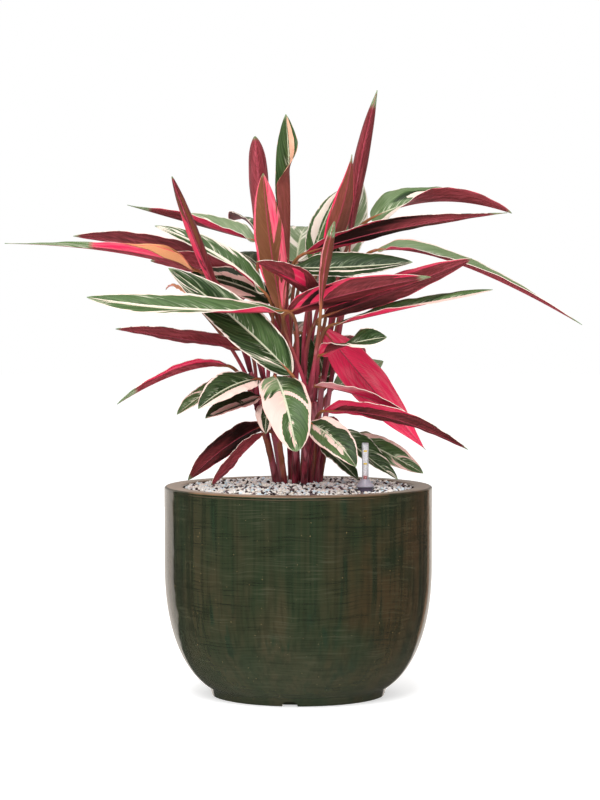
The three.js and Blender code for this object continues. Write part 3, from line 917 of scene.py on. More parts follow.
class Leaf:
    """One leaf: a waved, folded blade with its stalk and midrib."""

    def __init__(self, plan: LeafPlan, form: LeafForm, number: int, fork: np.ndarray,
                 cane_way: np.ndarray) -> None:
        """Lay out the leaf's lines.

        Args:
            plan: The leaf's plan.
            form: What all leaves share.
            number: The leaf's number in the plant, from which its irregularities come.
            fork: Where its stalk leaves the cane, in millimetres.
            cane_way: The cane's direction there.
        """
        self.plan = plan
        self.form = form
        self.number = number
        base, mid, tip = (np.array(spot, float) for spot in (plan.base, plan.mid, plan.tip))
        self.rib = Curve((base, 2 * mid - (base + tip) / 2, tip))
        way = self.rib.along(np.zeros(1))[0]
        length = float(np.linalg.norm(base - fork))
        self.stalk = Curve((fork, fork + cane_way * length * form.rise,
                            base - way * length * form.arch, base))

    def _facing(self, shares: np.ndarray, ways: np.ndarray) -> np.ndarray:
        """The way the upper face looks at some shares of the blade.

        Args:
            shares: Shares of the blade's length.
            ways: The midrib's directions there.

        Returns:
            The directions, square to the midrib.
        """
        angle = np.radians(lerp(*self.plan.turn, shares))
        facing = np.stack([0 * angle, -np.cos(angle), np.sin(angle)], axis=1)
        facing -= ways * np.sum(facing * ways, axis=1, keepdims=True)
        return facing / np.linalg.norm(facing, axis=1, keepdims=True)

    def _half_width(self, share: np.ndarray) -> np.ndarray:
        """The blade's half width at some shares of its length.

        Args:
            share: Shares of the blade's length.

        Returns:
            The half widths, in millimetres.
        """
        plan, form = self.plan, self.form
        rise = plan.taper * plan.belly / (1 - plan.belly)
        widest = plan.belly ** rise * (1 - plan.belly) ** plan.taper
        shape = share ** rise * (1 - share) ** plan.taper / widest
        uneven = 1 + form.uneven * np.sin(share * form.uneven_waves + self.number * 1.7)
        spread = plan.width / 2 * shape * uneven
        return np.maximum.reduce([spread, form.stalk * form.shoulder * (1 - share),
                                  np.full_like(share, form.tip_half)])

    def blade(self, sheet: bpy.types.Object, upper: bpy.types.Material,
              under: bpy.types.Material) -> bpy.types.Object:
        """Shape a copy of the flat sheet into the blade and give it its thickness.

        Args:
            sheet: The flat sheet.
            upper: The upper face's material.
            under: The under face's material.

        Returns:
            The blade.
        """
        plan, form = self.plan, self.form
        piece = dressed(copied(sheet, f"blade_{self.number}"), upper, under)
        spots = points_of(piece)
        hand = np.sign(np.round(spots[:, 0], 6))
        wide = np.abs(spots[:, 0]) * 2
        share = np.clip(spots[:, 1] + 0.5, 0, 1)
        ways = self.rib.along(share)
        up = self._facing(share, ways)
        across = np.cross(ways, up)
        flat = eased(share, 0, form.neck)
        half = self._half_width(share)
        open_share = np.clip((share - plan.opens[0]) / (plan.opens[1] - plan.opens[0]), 0, 1)
        degrees = np.where(hand < 0, lerp(*plan.left, open_share), lerp(*plan.right, open_share))
        fold = np.radians(degrees) * flat
        bulge = lerp(*form.bulge, eased(degrees, *form.bulge_folds))
        arch = bulge * 4 * wide * (1 - wide) * flat
        out = np.cos(fold) * wide - np.sin(fold) * arch
        lift = (np.sin(fold) * wide + np.cos(fold) * arch) * half
        phase = self.number * 2.4 + hand * 1.3
        swing = form.swing * np.sin(share * form.swing_waves + plan.base[0])
        swing = swing * (1 - share) * wide ** 1.5
        (slow, much), (quick, little) = form.ripples
        ripple = (much * np.sin(share * slow + phase)
                  + little * np.sin(share * quick + phase * 2.1))
        lift += (swing + form.ripple * ripple * wide ** 2 * np.sqrt(1 - share)) * flat
        points = self.rib.at(share) + across * (hand * out * half)[:, None] + up * lift[:, None]
        move_points(piece, points * MM)
        self._mark(piece, hand, wide, share)
        return applied(piece, "SOLIDIFY", thickness=form.thickness * MM, offset=-1.0,
                       material_offset=1, use_even_offset=False)

    def _mark(self, piece: bpy.types.Object, hand: np.ndarray, wide: np.ndarray,
              share: np.ndarray) -> None:
        """Write what the two faces' materials read at each point of the blade.

        Args:
            piece: The blade.
            hand: -1 left of the midrib, 1 right of it.
            wide: How far from it, 1 at the margin.
            share: How far along the blade.
        """
        look = self.plan.look
        lane = share - BladeFinish.forward * wide - BladeFinish.bend * wide ** 2
        pale, pink, tone, flush, dusk, glow = (
            start + sum((patch.weight(hand, wide, lane) for patch in patches), 0 * lane)
            for start, patches in (
                (look.pale, look.upper), (look.pink, look.under), (look.tone, look.shade),
                (look.flush, look.warm), (look.dusk, look.dark), (look.glow, look.heat)))
        seed = (self.number * GOLDEN) % 1 + 0.1
        same = np.ones_like(lane)
        for name, parts in (
            ("leaf_light", (pale, flush, tone, seed * same)),
            ("leaf_dark", (pink, dusk, glow, look.rim * same)),
        ):
            marks = piece.data.attributes.new(name, "FLOAT_COLOR", "POINT")
            marks.data.foreach_set("color", np.stack(parts, axis=1).astype(np.float32).ravel())
        before, after = self.form.tail_fade
        pale_tip = eased(share, look.tail + before, look.tail + after)
        tail = piece.data.attributes.new("leaf_tail", "FLOAT", "POINT")
        tail.data.foreach_set("value", pale_tip.astype(np.float32))

    def tube(self, sleeve: bpy.types.Object, material: bpy.types.Material) -> bpy.types.Object:
        """Shape a copy of the rolled sleeve into the stalk and the rib under the blade.

        Args:
            sleeve: The flat grid that is rolled up.
            material: The stalk's material.

        Returns:
            The closed stalk and rib.
        """
        form = self.form
        piece = dressed(copied(sleeve, f"stalk_{self.number}"), material)
        spots = points_of(piece)
        rows, row_of = np.unique(np.round(spots[:, 1], 6), return_inverse=True)
        share = (rows - rows[0]) / (rows[-1] - rows[0])
        on_stalk = share < form.stalk_part
        low = share[on_stalk] / form.stalk_part
        high = (share[~on_stalk] - form.stalk_part) / (1 - form.stalk_part)
        centre = np.concatenate([self.stalk.at(low), self.rib.at(high)])
        ways = np.concatenate([self.stalk.along(low), self.rib.along(high)])
        up = np.zeros_like(centre)
        up[~on_stalk] = self._facing(high, self.rib.along(high))
        facing = self._facing(np.zeros(1), self.rib.along(np.zeros(1)))[0]
        for row in reversed(range(len(low))):
            facing = facing - ways[row] * (facing @ ways[row])
            facing = facing / np.linalg.norm(facing)
            up[row] = facing
        across = np.cross(ways, up)
        flat = eased(high, 0, form.neck)
        thick = np.concatenate([
            lerp(form.stalk_root, form.stalk, low),
            lerp(lerp(form.stalk, form.rib, flat), form.rib_tip, high),
        ])
        drop = np.concatenate([0 * low, flat * (thick[~on_stalk] * form.rib_sink)])
        thick[0] = thick[-1] = 0
        centre = centre - up * drop[:, None]
        angle = (spots[:, 0] + 0.5) * 2 * math.pi
        reach = thick[row_of][:, None]
        points = centre[row_of] + reach * (np.cos(angle)[:, None] * across[row_of]
                                           - np.sin(angle)[:, None] * up[row_of])
        move_points(piece, points * MM)
        return welded(piece, outward=False)


# ---- shoots


@dataclass(frozen=True)
class ShootPlan:
    """One shoot: its cane's foot and top, in millimetres, and its leaves from the highest."""

    name: str
    foot: tuple[float, float]
    top: tuple[float, float, float]
    leaves: tuple[LeafPlan, ...]


@dataclass(frozen=True)
class CaneForm:
    """What all canes share, in millimetres."""

    start: float = 225.0
    root: float = 4.6
    tip: float = 3.0
    spread: float = 0.35
    first_fork: float = 0.98
    fork_step: float = 0.14
    swelling: float = 0.35
    swelling_length: float = 0.03  # share of the cane
    closed_end: float = 1e-4  # share of the cane that is drawn to a point at each end
    surface: float = 0.12  # share of the cane below the top of the granules
    sides: int = 14
    rows: int = 40


@dataclass
class Foliage:
    """Every shoot of the plant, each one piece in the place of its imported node."""

    shoots: tuple[ShootPlan, ...]
    leaf_form: LeafForm = field(default_factory=LeafForm)
    cane_form: CaneForm = field(default_factory=CaneForm)
    blade_finish: BladeFinish = field(default_factory=BladeFinish)
    stem_finish: StemFinish = field(default_factory=StemFinish)

    def cane_line(self, plan: ShootPlan) -> Curve:
        """A cane's middle line, in millimetres.

        Args:
            plan: The shoot's plan.

        Returns:
            The line.
        """
        form = self.cane_form
        foot, top = np.array([*plan.foot, form.start]), np.array(plan.top, float)
        pull = lerp(foot, top, form.spread)
        pull[2] = (foot[2] + top[2]) / 2
        return Curve((foot, pull, top))

    def build(self) -> None:
        """Build, dress and place every shoot."""
        form = self.leaf_form
        sheet = grid("flat_sheet", form.sheet_columns, form.sheet_rows)
        sleeve = grid("flat_sleeve", form.tube_sides, form.tube_rows)
        bark = grid("flat_bark", self.cane_form.sides, self.cane_form.rows)
        upper = self.blade_finish.material(Face.UPPER)
        under = self.blade_finish.material(Face.UNDER)
        stalk, cane = self.stem_finish.stalk(), self.stem_finish.cane()
        number = 0
        for plan in self.shoots:
            line = self.cane_line(plan)
            parts = [self._cane(plan, line, bark, cane)]
            for index, leaf_plan in enumerate(plan.leaves):
                number += 1
                share = np.array([self._fork(index)])
                leaf = Leaf(leaf_plan, form, number, line.at(share)[0], line.along(share)[0])
                parts.append(leaf.blade(sheet, upper, under))
                parts.append(leaf.tube(sleeve, stalk))
            shoot = smoothed(joined(f"{plan.name}_leaves", parts), form.sharp)
            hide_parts(plan.name)
            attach(shoot, "root")
            log.info("%s: %d leaves, %d faces", plan.name, len(plan.leaves),
                     len(shoot.data.polygons))
        for pattern in (sheet, sleeve, bark):
            bpy.data.objects.remove(pattern)

    def _fork(self, index: int) -> float:
        """Where on its cane a leaf forks off, as a share."""
        return self.cane_form.first_fork - self.cane_form.fork_step * index

    def _cane(self, plan: ShootPlan, line: Curve, bark: bpy.types.Object,
              material: bpy.types.Material) -> bpy.types.Object:
        """One cane: a tapered rod that swells a little at its forks.

        Args:
            plan: The shoot's plan.
            line: The cane's middle line.
            bark: The flat grid that is rolled up.
            material: The cane's material.

        Returns:
            The closed cane.
        """
        form = self.cane_form
        piece = dressed(copied(bark, f"{plan.name}_cane"), material)
        spots = points_of(piece)
        share = np.clip(spots[:, 1] + 0.5, 0, 1)
        ways = line.along(share)
        across = np.array([[1.0, 0, 0]]) - ways * ways[:, :1]
        across /= np.linalg.norm(across, axis=1, keepdims=True)
        front = np.cross(ways, across)
        thick = lerp(form.root, form.tip, share)
        for index in range(len(plan.leaves)):
            from_fork = (share - self._fork(index)) / form.swelling_length
            thick = thick + form.swelling * np.exp(-from_fork ** 2)
        thick = np.where((share < form.closed_end) | (share > 1 - form.closed_end), 0, thick)
        angle = (spots[:, 0] + 0.5) * 2 * math.pi
        points = line.at(share) + thick[:, None] * (
            np.cos(angle)[:, None] * across + np.sin(angle)[:, None] * front)
        move_points(piece, points * MM)
        return welded(piece)


SHOOTS = (
    ShootPlan("shoot_left_outer", (-21.8, 6.1), (-58, 5, 389), (
        LeafPlan(
            (-92, -52, 475), (-124, -68, 553), (-148, -80, 621), 38, (180, 170), left=(70, 70),
            right=(70, 70),
            look=Look(
                dusk=0.72, glow=1.0, rim=0.04, under=(Patch(1, -0.1, 0.6, 0.0, gain=0.75),),
                warm=(Patch(0, 0.35, 0.8, 0.1, 0.5, gain=1.6),))),
        LeafPlan(
            (-101, 50, 518), (-180, 62, 538), (-275, 70, 552), 44, (120, 120), left=(20, 20),
            right=(20, 20), look=Look(dusk=0.66, rim=0.05, tail=0.98)),
        LeafPlan(
            (-64, -25, 417), (-140, -45, 431), (-216, -55, 442), 41, (114, 114), left=(12, 12),
            right=(12, 12),
            look=Look(
                dusk=0.58, rim=0.03, tail=0.98, under=(Patch(-1, 0.12, 0.3, 0.8, gain=0.7),))),
        LeafPlan(
            (-126, 14, 473), (-147, 18, 491), (-160, 21, 487), 13, (70, 90),
            look=Look(pale=0.8, flush=1.7, pink=0.8, glow=0.1, dusk=0.3)),
    )),
    ShootPlan("shoot_left_upper", (-15.2, -2), (-42, -4, 379), (
        LeafPlan(
            (-120, 0, 510), (-226, -25, 534), (-348, -40, 543), 40, (70, 110), left=(60, 40),
            right=(60, 15), belly=0.27, taper=2.1,
            look=Look(
                pale=-0.3, flush=0.4, tone=0.55, dusk=0.5, tail=0.6, rim=0.07,
                upper=(Patch(0, -0.1, 0.5, gain=1.0),),
                under=(Patch(-1, 0.14, 0.62, 0.3, gain=0.7), Patch(1, 0.3, 0.6, 0.3, gain=0.5)),
                warm=(Patch(-1, -0.3, 0.15, 0.35, 1.2, gain=2.8), Patch(1, -0.3, 0.3, gain=2.6)))),
        LeafPlan(
            (-70, 15, 502), (-122, 22, 515), (-178, 15, 522), 44, (130, 130), left=(20, 20),
            right=(20, 20), look=Look(dusk=0.45, rim=0.05, tail=0.97)),
        LeafPlan(
            (-40, -20, 484), (-99, -22, 529), (-171, -15, 564), 42, (50, 60), left=(60, 10),
            look=Look(
                pale=-0.08, flush=0.2, tone=0.55, rim=0.14, glow=1.0,
                under=(Patch(-1, -0.1, 0.7, gain=0.9),),
                upper=(
                    Patch(0, 0.0, 1.1, 0.0, 0.12, 0.9), Patch(0, 0.72, 1.2, 0.2, gain=0.35),
                    Patch(1, 0.1, 0.7, 0.6, gain=0.14)))),
        LeafPlan(
            (-29, -2, 473), (-82, 3, 496), (-134, 0, 504), 42, (45, 45),
            look=Look(
                pale=-0.3, flush=1.1, tone=-0.2, rim=0.1,
                upper=(Patch(-1, 0.05, 1.1, 0.5, gain=0.6), Patch(1, 0.1, 0.7, 0.25, 0.6, 0.6)))),
    )),
    ShootPlan("shoot_left_front", (-4.1, -24.4), (-3, -55, 352), (
        LeafPlan(
            (-17, -85, 464), (-126, -122, 465), (-244, -138, 481), 48, (60, 46), left=(65, -5),
            look=Look(
                pale=-0.15, flush=0.3, tone=0.75, rim=0.17, dusk=0.5, glow=0.95,
                under=(Patch(-1, -0.1, 0.6, 0.3, gain=0.8),),
                upper=(
                    Patch(0, 0.22, 1.1, 0.0, 0.1, 0.8), Patch(1, 0.5, 0.95, 0.55, 0.9, 0.2),
                    Patch(-1, 0.35, 0.8, 0.6, 1.0, 0.15)))),
        LeafPlan(
            (-8, -92, 390), (-71, -88, 451), (-152, -84, 514), 53, (30, 30), left=(12, 12),
            right=(12, 12),
            look=Look(
                pale=-0.1, flush=0.2, tone=0.12, rim=0.08,
                shade=(Patch(1, 0.0, 0.55, 0.0, 0.75, 0.5),),
                upper=(Patch(0, 0.72, 1.0, 0.2, 0.9, 0.16),))),
        LeafPlan(
            (-28, -95, 388), (-16, -158, 365), (-2, -190, 306), 56, (60, 60), left=(8, 8),
            right=(8, 8), belly=0.54, taper=0.55,
            look=Look(
                pale=-0.3, flush=0.9, tone=0.1, rim=0.13,
                shade=(
                    Patch(1, -0.3, 0.38, gain=1.0, slant=-0.2), Patch(-1, 0.3, 1.1, gain=0.5),
                    Patch(1, 0.6, 1.1, gain=0.4)),
                upper=(
                    Patch(1, 0.465, 1.4, gain=0.8, soft=0.02, slant=-0.2),
                    Patch(1, 0.635, 1.4, gain=-0.8, soft=0.02, slant=0.23),
                    Patch(-1, 0.4, 0.445, gain=0.9, soft=0.018),
                    Patch(0, 0.55, 0.95, 0.0, 0.2, gain=0.42),
                    Patch(1, 0.0, 0.47, 0.0, 1.0, 0.34)))),
    )),
    ShootPlan("shoot_left_lower", (-19.6, -11.6), (-50, -36, 350), (
        LeafPlan(
            (-85, -40, 398), (-142, -70, 390), (-212, -95, 355), 36, (110, 115), left=(20, 20),
            right=(20, 20),
            look=Look(
                dusk=0.5, glow=0.95, tail=0.86, under=(Patch(-1, -0.1, 0.6, 0.45, gain=0.8),))),
        LeafPlan(
            (-76, -50, 384), (-112, -75, 365), (-142, -95, 343), 27, (60, 60),
            look=Look(tone=0.55, rim=0.13, flush=0.4, pale=-0.1)),
        LeafPlan(
            (-48, -80, 384), (-82, -120, 375), (-115, -155, 353), 42, (45, 45),
            look=Look(
                pale=-0.28, flush=0.55, tone=0.12, rim=0.12,
                upper=(Patch(-1, -0.1, 1.1, 0.4, gain=0.5),))),
        LeafPlan(
            (-43, -65, 363), (-77, -95, 351), (-108, -120, 340), 36, (60, 60), left=(25, 25),
            right=(25, 25),
            look=Look(
                pale=-0.3, flush=0.9, tone=-0.2, rim=0.05,
                upper=(Patch(-1, -0.1, 1.1, 0.75, gain=0.7), Patch(1, 0.0, 0.85, 0.0, 0.3, 0.6)))),
    )),
    ShootPlan("shoot_left_low", (-13.5, -20.1), (-24, -48, 315), (
        LeafPlan(
            (-39, -54, 329), (-84, -57, 304), (-131, -44, 262), 40, (125, 125), left=(10, 10),
            right=(10, 10),
            look=Look(
                dusk=0.62, rim=0.04, tail=0.97, under=(Patch(1, -0.1, 0.95, 0.9, gain=0.8),),
                dark=(Patch(0, -0.2, 0.5, gain=0.4, soft=0.18),))),
        LeafPlan(
            (-40, -66, 321), (-70, -86, 292), (-102, -96, 260), 34, (120, 120),
            look=Look(dusk=0.55, rim=0.04, under=(Patch(1, 0.0, 0.8, 0.86, gain=0.8),))),
        LeafPlan(
            (-24, -54, 350), (-36, -76, 343), (-38, -88, 320), 30, (60, 60),
            look=Look(
                pale=-0.25, flush=0.6, tone=-0.1, rim=0.1,
                upper=(Patch(0, -0.2, 1.1, 0.5, gain=0.7),))),
    )),
    ShootPlan("shoot_centre", (0.3, -6.3), (-8, -12, 403), (
        LeafPlan(
            (-20, -25, 461), (-34, -35, 547), (-42, -25, 626), 41, (180, 180), left=(30, 30),
            right=(30, 30), belly=0.48,
            look=Look(
                dusk=0.5, flush=2.0, glow=0.75, pink=-0.25, rim=0.03,
                under=(Patch(1, -0.1, 0.85, 0.9, gain=0.7), Patch(-1, -0.2, 0.95, 0.22, gain=0.42)),
                dark=(Patch(-1, -0.1, 1.0, 0.85, gain=0.4),))),
        LeafPlan(
            (-8, -35, 514), (60, -60, 515), (134, -80, 521), 47, (50, 50), left=(12, 12),
            right=(12, 12),
            look=Look(
                pale=-0.35, flush=0.3, tone=0.05, rim=0.07,
                upper=(Patch(1, 0.05, 0.95, 0.5, 0.66, 0.75),))),
        LeafPlan(
            (8, -20, 531), (114, -45, 560), (246, -60, 579), 32, (130, 125), left=(20, 20),
            right=(20, 20), belly=0.38, taper=1.2,
            look=Look(
                dusk=0.62, glow=1.0, tail=0.95, rim=0.03,
                under=(Patch(0, -0.3, 0.05, gain=1.0), Patch(1, -0.1, 0.2, 0.85, gain=0.7)),
                dark=(Patch(0, -0.2, 0.42, gain=0.5, soft=0.18),))),
    )),
    ShootPlan("shoot_centre_tall", (-6.2, 5.5), (-17, 15, 403), (
        LeafPlan(
            (-50, 15, 505), (-47, 15, 589), (-52, 5, 671), 45, (180, 180), left=(60, 60),
            right=(60, 60), belly=0.7, look=Look(dusk=0.48, rim=0.04)),
        LeafPlan(
            (-13, 25, 509), (-10, 20, 596), (-15, 15, 698), 36, (0, 0), right=(150, 20),
            opens=(0.6, 0.85), belly=0.6,
            look=Look(
                pale=-0.35, flush=1.55, tone=0.35, rim=0.02, dusk=0.4,
                upper=(Patch(1, 0.3, 0.95, 0.12, 0.66, gain=0.9),))),
        LeafPlan(
            (-50, 40, 546), (-114, 55, 563), (-209, 75, 590), 50, (45, 85), left=(50, 55),
            taper=1.3,
            look=Look(
                pale=-0.05, flush=0.1, tone=1.25, dusk=0.6, glow=1.0, tail=0.88, rim=0.08,
                under=(Patch(-1, -0.1, 0.42, 0.3, gain=0.8),))),
        LeafPlan(
            (5, 25, 432), (9, 32, 408), (11, 34, 373), 26, (0, 0),
            look=Look(tone=0.1, pale=-0.3, rim=0.02)),
    )),
    ShootPlan("shoot_front_centre", (5.2, -29), (14, -78, 358), (
        LeafPlan(
            (26, -108, 465), (31, -114, 517), (42, -116, 568), 34, (180, 180), left=(70, 70),
            right=(70, 70), belly=0.6,
            look=Look(
                dusk=0.6, glow=0.35, flush=1.6, tail=0.84,
                under=(Patch(1, -0.1, 0.85, 0.4, gain=0.7),))),
        LeafPlan(
            (-12, -68, 462), (58, -92, 484), (154, -110, 504), 40, (140, 130), left=(20, 20),
            right=(20, 20),
            look=Look(
                dusk=0.7, glow=1.0, pink=-0.4, rim=0.05, tail=0.95,
                under=(
                    Patch(1, 0.03, 0.11, gain=0.9, soft=0.012),
                    Patch(1, 0.2, 0.31, gain=0.85, soft=0.012),
                    Patch(1, -0.2, 0.95, 0.88, gain=0.6), Patch(1, 0.45, 0.8, 0.5, gain=0.3)),
                dark=(Patch(0, 0.1, 0.24, gain=0.3, soft=0.06),))),
        LeafPlan(
            (12, -80, 333), (41, -115, 315), (67, -140, 285), 43, (45, 45), left=(12, 12),
            right=(12, 12),
            look=Look(
                pale=-0.25, flush=0.7, tone=0.12, rim=0.13,
                shade=(Patch(1, -0.2, 0.9, 0.0, 0.9, 0.6),),
                upper=(
                    Patch(-1, -0.3, 0.25, 0.6, gain=0.6),
                    Patch(1, 0.1, 0.75, 0.05, 0.5, gain=0.42, soft=0.08),
                    Patch(-1, 0.3, 0.9, 0.0, 0.14, gain=0.4)))),
    )),
    ShootPlan("shoot_front_right", (12.4, -21.1), (20, -52, 357), (
        LeafPlan(
            (41, -55, 447), (131, -80, 468), (227, -95, 489), 42, (75, 68), left=(10, 10),
            right=(35, 10),
            look=Look(
                pale=-0.3, flush=0.8, tone=0.1, rim=0.06, pink=0.35, glow=0.95, dusk=0.6,
                shade=(Patch(0, 0.62, 1.1, gain=0.6),),
                upper=(Patch(1, 0.3, 1.1, 0.3, gain=0.75), Patch(1, 0.7, 0.95, gain=0.3)))),
        LeafPlan(
            (26, -75, 412), (64, -95, 426), (103, -110, 434), 42, (135, 5),
            look=Look(
                pale=-0.3, flush=0.3, tone=0.15, dusk=0.8, glow=1.0,
                under=(Patch(0, -0.3, 0.05, gain=1.0),),
                upper=(Patch(1, 0.3, 1.1, 0.7, gain=0.7),))),
        LeafPlan(
            (20, -65, 375), (74, -88, 364), (139, -108, 337), 28, (110, 115), left=(20, 20),
            right=(20, 20),
            look=Look(
                pink=0.9, glow=0.1, dusk=0.5, rim=0.12,
                heat=(Patch(0, 0.3, 1.2, gain=0.9, soft=0.2),),
                dark=(Patch(0, 0.45, 1.2, gain=0.2, soft=0.2),))),
        LeafPlan(
            (32, -72, 346), (111, -110, 339), (196, -140, 305), 46, (125, 115), left=(12, 12),
            right=(12, 12),
            look=Look(
                dusk=0.8, glow=1.0, rim=0.04,
                under=(Patch(0, -0.3, 0.05, gain=1.0), Patch(1, -0.1, 0.4, 0.4, gain=0.8)))),
    )),
    ShootPlan("shoot_right_inner", (9.5, -11.1), (6, -22, 379), (
        LeafPlan(
            (28, 0, 521), (52, -5, 584), (64, -5, 649), 35, (175, 175), left=(45, 45),
            right=(45, 45), taper=1.4,
            look=Look(
                dusk=0.55, flush=1.6, glow=0.95, tail=0.94,
                under=(Patch(1, -0.1, 0.85, 0.75, gain=0.8),))),
        LeafPlan(
            (31, -30, 457), (116, -55, 489), (204, -75, 525), 40, (140, 140),
            look=Look(
                dusk=0.58, glow=0.9, pink=-0.35, rim=0.07,
                under=(Patch(1, -0.1, 0.9, 0.75, gain=0.5), Patch(1, 0.3, 0.6, 0.3, gain=0.25)),
                dark=(Patch(0, -0.2, 0.3, gain=0.35, soft=0.1),))),
        LeafPlan(
            (26, -15, 444), (86, -45, 373), (150, -70, 300), 47, (172, 172), left=(8, 8),
            right=(8, 8), taper=1.25,
            look=Look(pink=0.9, glow=0.95, dusk=0.72, rim=0.03, tail=0.995)),
        LeafPlan(
            (28, -42, 476), (-10, -91, 504), (-48, -128, 522), 36, (120, 120), left=(20, 20),
            right=(20, 20),
            look=Look(
                dusk=0.62, glow=1.0, rim=0.04, under=(Patch(0, 0.24, 0.42, 0.0, 0.75, 1.0),))),
    )),
    ShootPlan("shoot_right_tall", (19, -2.6), (39, 15, 373), (
        LeafPlan(
            (61, 28, 521), (71, 30, 616), (95, 28, 727), 35, (180, 180), left=(62, 62),
            right=(62, 62), belly=0.62, taper=1.1, look=Look(dusk=0.6, rim=0.05, tail=0.93)),
        LeafPlan(
            (94, 5, 535), (190, -25, 519), (335, -60, 447), 37, (52, 112), left=(20, 40),
            right=(40, 10), taper=0.85,
            look=Look(
                pale=-0.3, flush=0.2, tone=1.1, rim=0.14, dusk=0.5, glow=1.0, tail=0.97,
                under=(Patch(0, -0.3, 0.2, gain=0.9),), warm=(Patch(0, -0.3, -0.02, gain=1.0),))),
    )),
    ShootPlan("shoot_right_upper", (14.2, 7.9), (30, 30, 380), (
        LeafPlan(
            (88, 52, 573), (168, 32, 594), (256, 5, 579), 58, (45, 85), right=(10, 60),
            opens=(0.1, 0.5), belly=0.34, taper=0.7,
            look=Look(
                pale=-0.3, flush=0.3, tone=1.0, dusk=0.55, rim=0.04,
                shade=(Patch(-1, 0.12, 0.3, 0.3, 0.7, -0.9),),
                upper=(Patch(-1, 0.2, 0.42, 0.35, 0.62, 0.6), Patch(1, -0.2, 0.1, 0.6, gain=0.7)))),
        LeafPlan(
            (57, 66, 520), (64, 72, 580), (68, 76, 640), 44, (10, 10), left=(12, 12),
            right=(12, 12), look=Look(tone=1.2, pale=0.05, flush=0.0, rim=0.1)),
        LeafPlan(
            (50, 50, 472), (48, 58, 505), (46, 64, 540), 34, (10, 10),
            look=Look(tone=0.1, pale=-0.3)),
        LeafPlan(
            (44, 40, 368), (74, 55, 384), (104, 70, 399), 31, (20, 20),
            look=Look(tone=1.2, pale=-0.2, rim=0.06)),
    )),
    ShootPlan("shoot_right_low", (20.8, -13.6), (34, -22, 308), (
        LeafPlan(
            (47, -20, 320), (78, -28, 292), (118, -45, 263), 38, (50, 70), left=(25, 25),
            right=(25, 25), look=Look(tone=0.25, pale=-0.04, rim=0.05)),
        LeafPlan(
            (64, 0, 312), (106, -15, 292), (149, -30, 269), 36, (45, 45), left=(12, 12),
            right=(12, 12),
            look=Look(
                tone=0.5, pale=-0.05, flush=1.0, rim=0.07,
                upper=(Patch(-1, 0.1, 0.6, 0.8, gain=0.8),))),
        LeafPlan(
            (28, -20, 300), (51, -30, 282), (71, -38, 262), 30, (70, 70),
            look=Look(tone=0.1, pale=-0.2, dusk=0.5)),
    )),
    ShootPlan("shoot_back_right", (4.6, 15.4), (14, 48, 415), (
        LeafPlan(
            (16, 38, 521), (31, 42, 567), (50, 48, 607), 33, (20, 20),
            look=Look(tone=0.6, pale=-0.2, upper=(Patch(-1, 0.15, 0.9, 0.2, 0.75, 0.6),))),
        LeafPlan(
            (45, 92, 520), (72, 150, 550), (104, 225, 559), 50, (90, 90),
            look=Look(tone=0.5, pale=0.0)),
        LeafPlan(
            (14, 50, 484), (33, 150, 501), (59, 245, 481), 50, (90, 90),
            look=Look(tone=0.4, pale=-0.08)),
        LeafPlan(
            (22, 70, 420), (52, 130, 421), (85, 200, 393), 44, (90, 90),
            look=Look(tone=0.6, pale=-0.02, flush=0.5)),
    )),
    ShootPlan("shoot_back_left", (-7.4, 18.3), (-14, 48, 415), (
        LeafPlan(
            (-45, 60, 541), (-64, 110, 571), (-86, 175, 571), 40, (130, 130),
            look=Look(dusk=0.75, rim=0.07)),
        LeafPlan(
            (2, 62, 508), (-9, 140, 550), (-22, 235, 563), 50, (90, 90),
            look=Look(tone=0.55, pale=-0.05)),
        LeafPlan(
            (-2, 58, 521), (2, 105, 547), (9, 170, 564), 60, (90, 90),
            look=Look(tone=1.15, pale=0.0, flush=0.0, rim=0.1)),
        LeafPlan(
            (-45, 75, 512), (-60, 105, 525), (-75, 140, 532), 38, (90, 90),
            look=Look(tone=0.2, pale=-0.2, flush=0.9)),
        LeafPlan(
            (-49, 34, 499), (-76, 48, 521), (-111, 60, 540), 29, (55, 55),
            look=Look(tone=1.0, pale=-0.2, flush=0.9)),
        LeafPlan(
            (-16, 45, 474), (-46, 150, 491), (-75, 255, 468), 50, (90, 90),
            look=Look(tone=0.45, pale=0.02)),
    )),
    ShootPlan("shoot_rear_left", (-0.2, 28.2), (-4, 60, 340), (
        LeafPlan(
            (-4, 80, 432), (-17, 145, 438), (-35, 215, 405), 46, (90, 90),
            look=Look(tone=0.35, pale=-0.02, flush=0.4)),
        LeafPlan(
            (-28, 74, 412), (-58, 130, 428), (-86, 190, 419), 44, (90, 90),
            look=Look(tone=0.6, pale=-0.1)),
        LeafPlan(
            (-10, 50, 350), (-15, 105, 347), (-19, 155, 310), 40, (90, 90),
            look=Look(tone=0.45, pale=0.03, flush=0.5)),
    )),
    ShootPlan("shoot_rear_right", (13, 23.5), (26, 56, 340), (
        LeafPlan(
            (24, 64, 408), (30, 68, 388), (31, 68, 362), 26, (0, 0),
            look=Look(tone=0.3, pale=-0.1)),
        LeafPlan(
            (28, 52, 380), (42, 112, 388), (56, 170, 382), 42, (90, 90),
            look=Look(tone=0.5, pale=-0.03)),
        LeafPlan(
            (16, 45, 328), (32, 92, 320), (49, 130, 289), 38, (90, 90),
            look=Look(tone=0.35, pale=0.0, flush=0.6)),
    )),
)


# ---- the pot


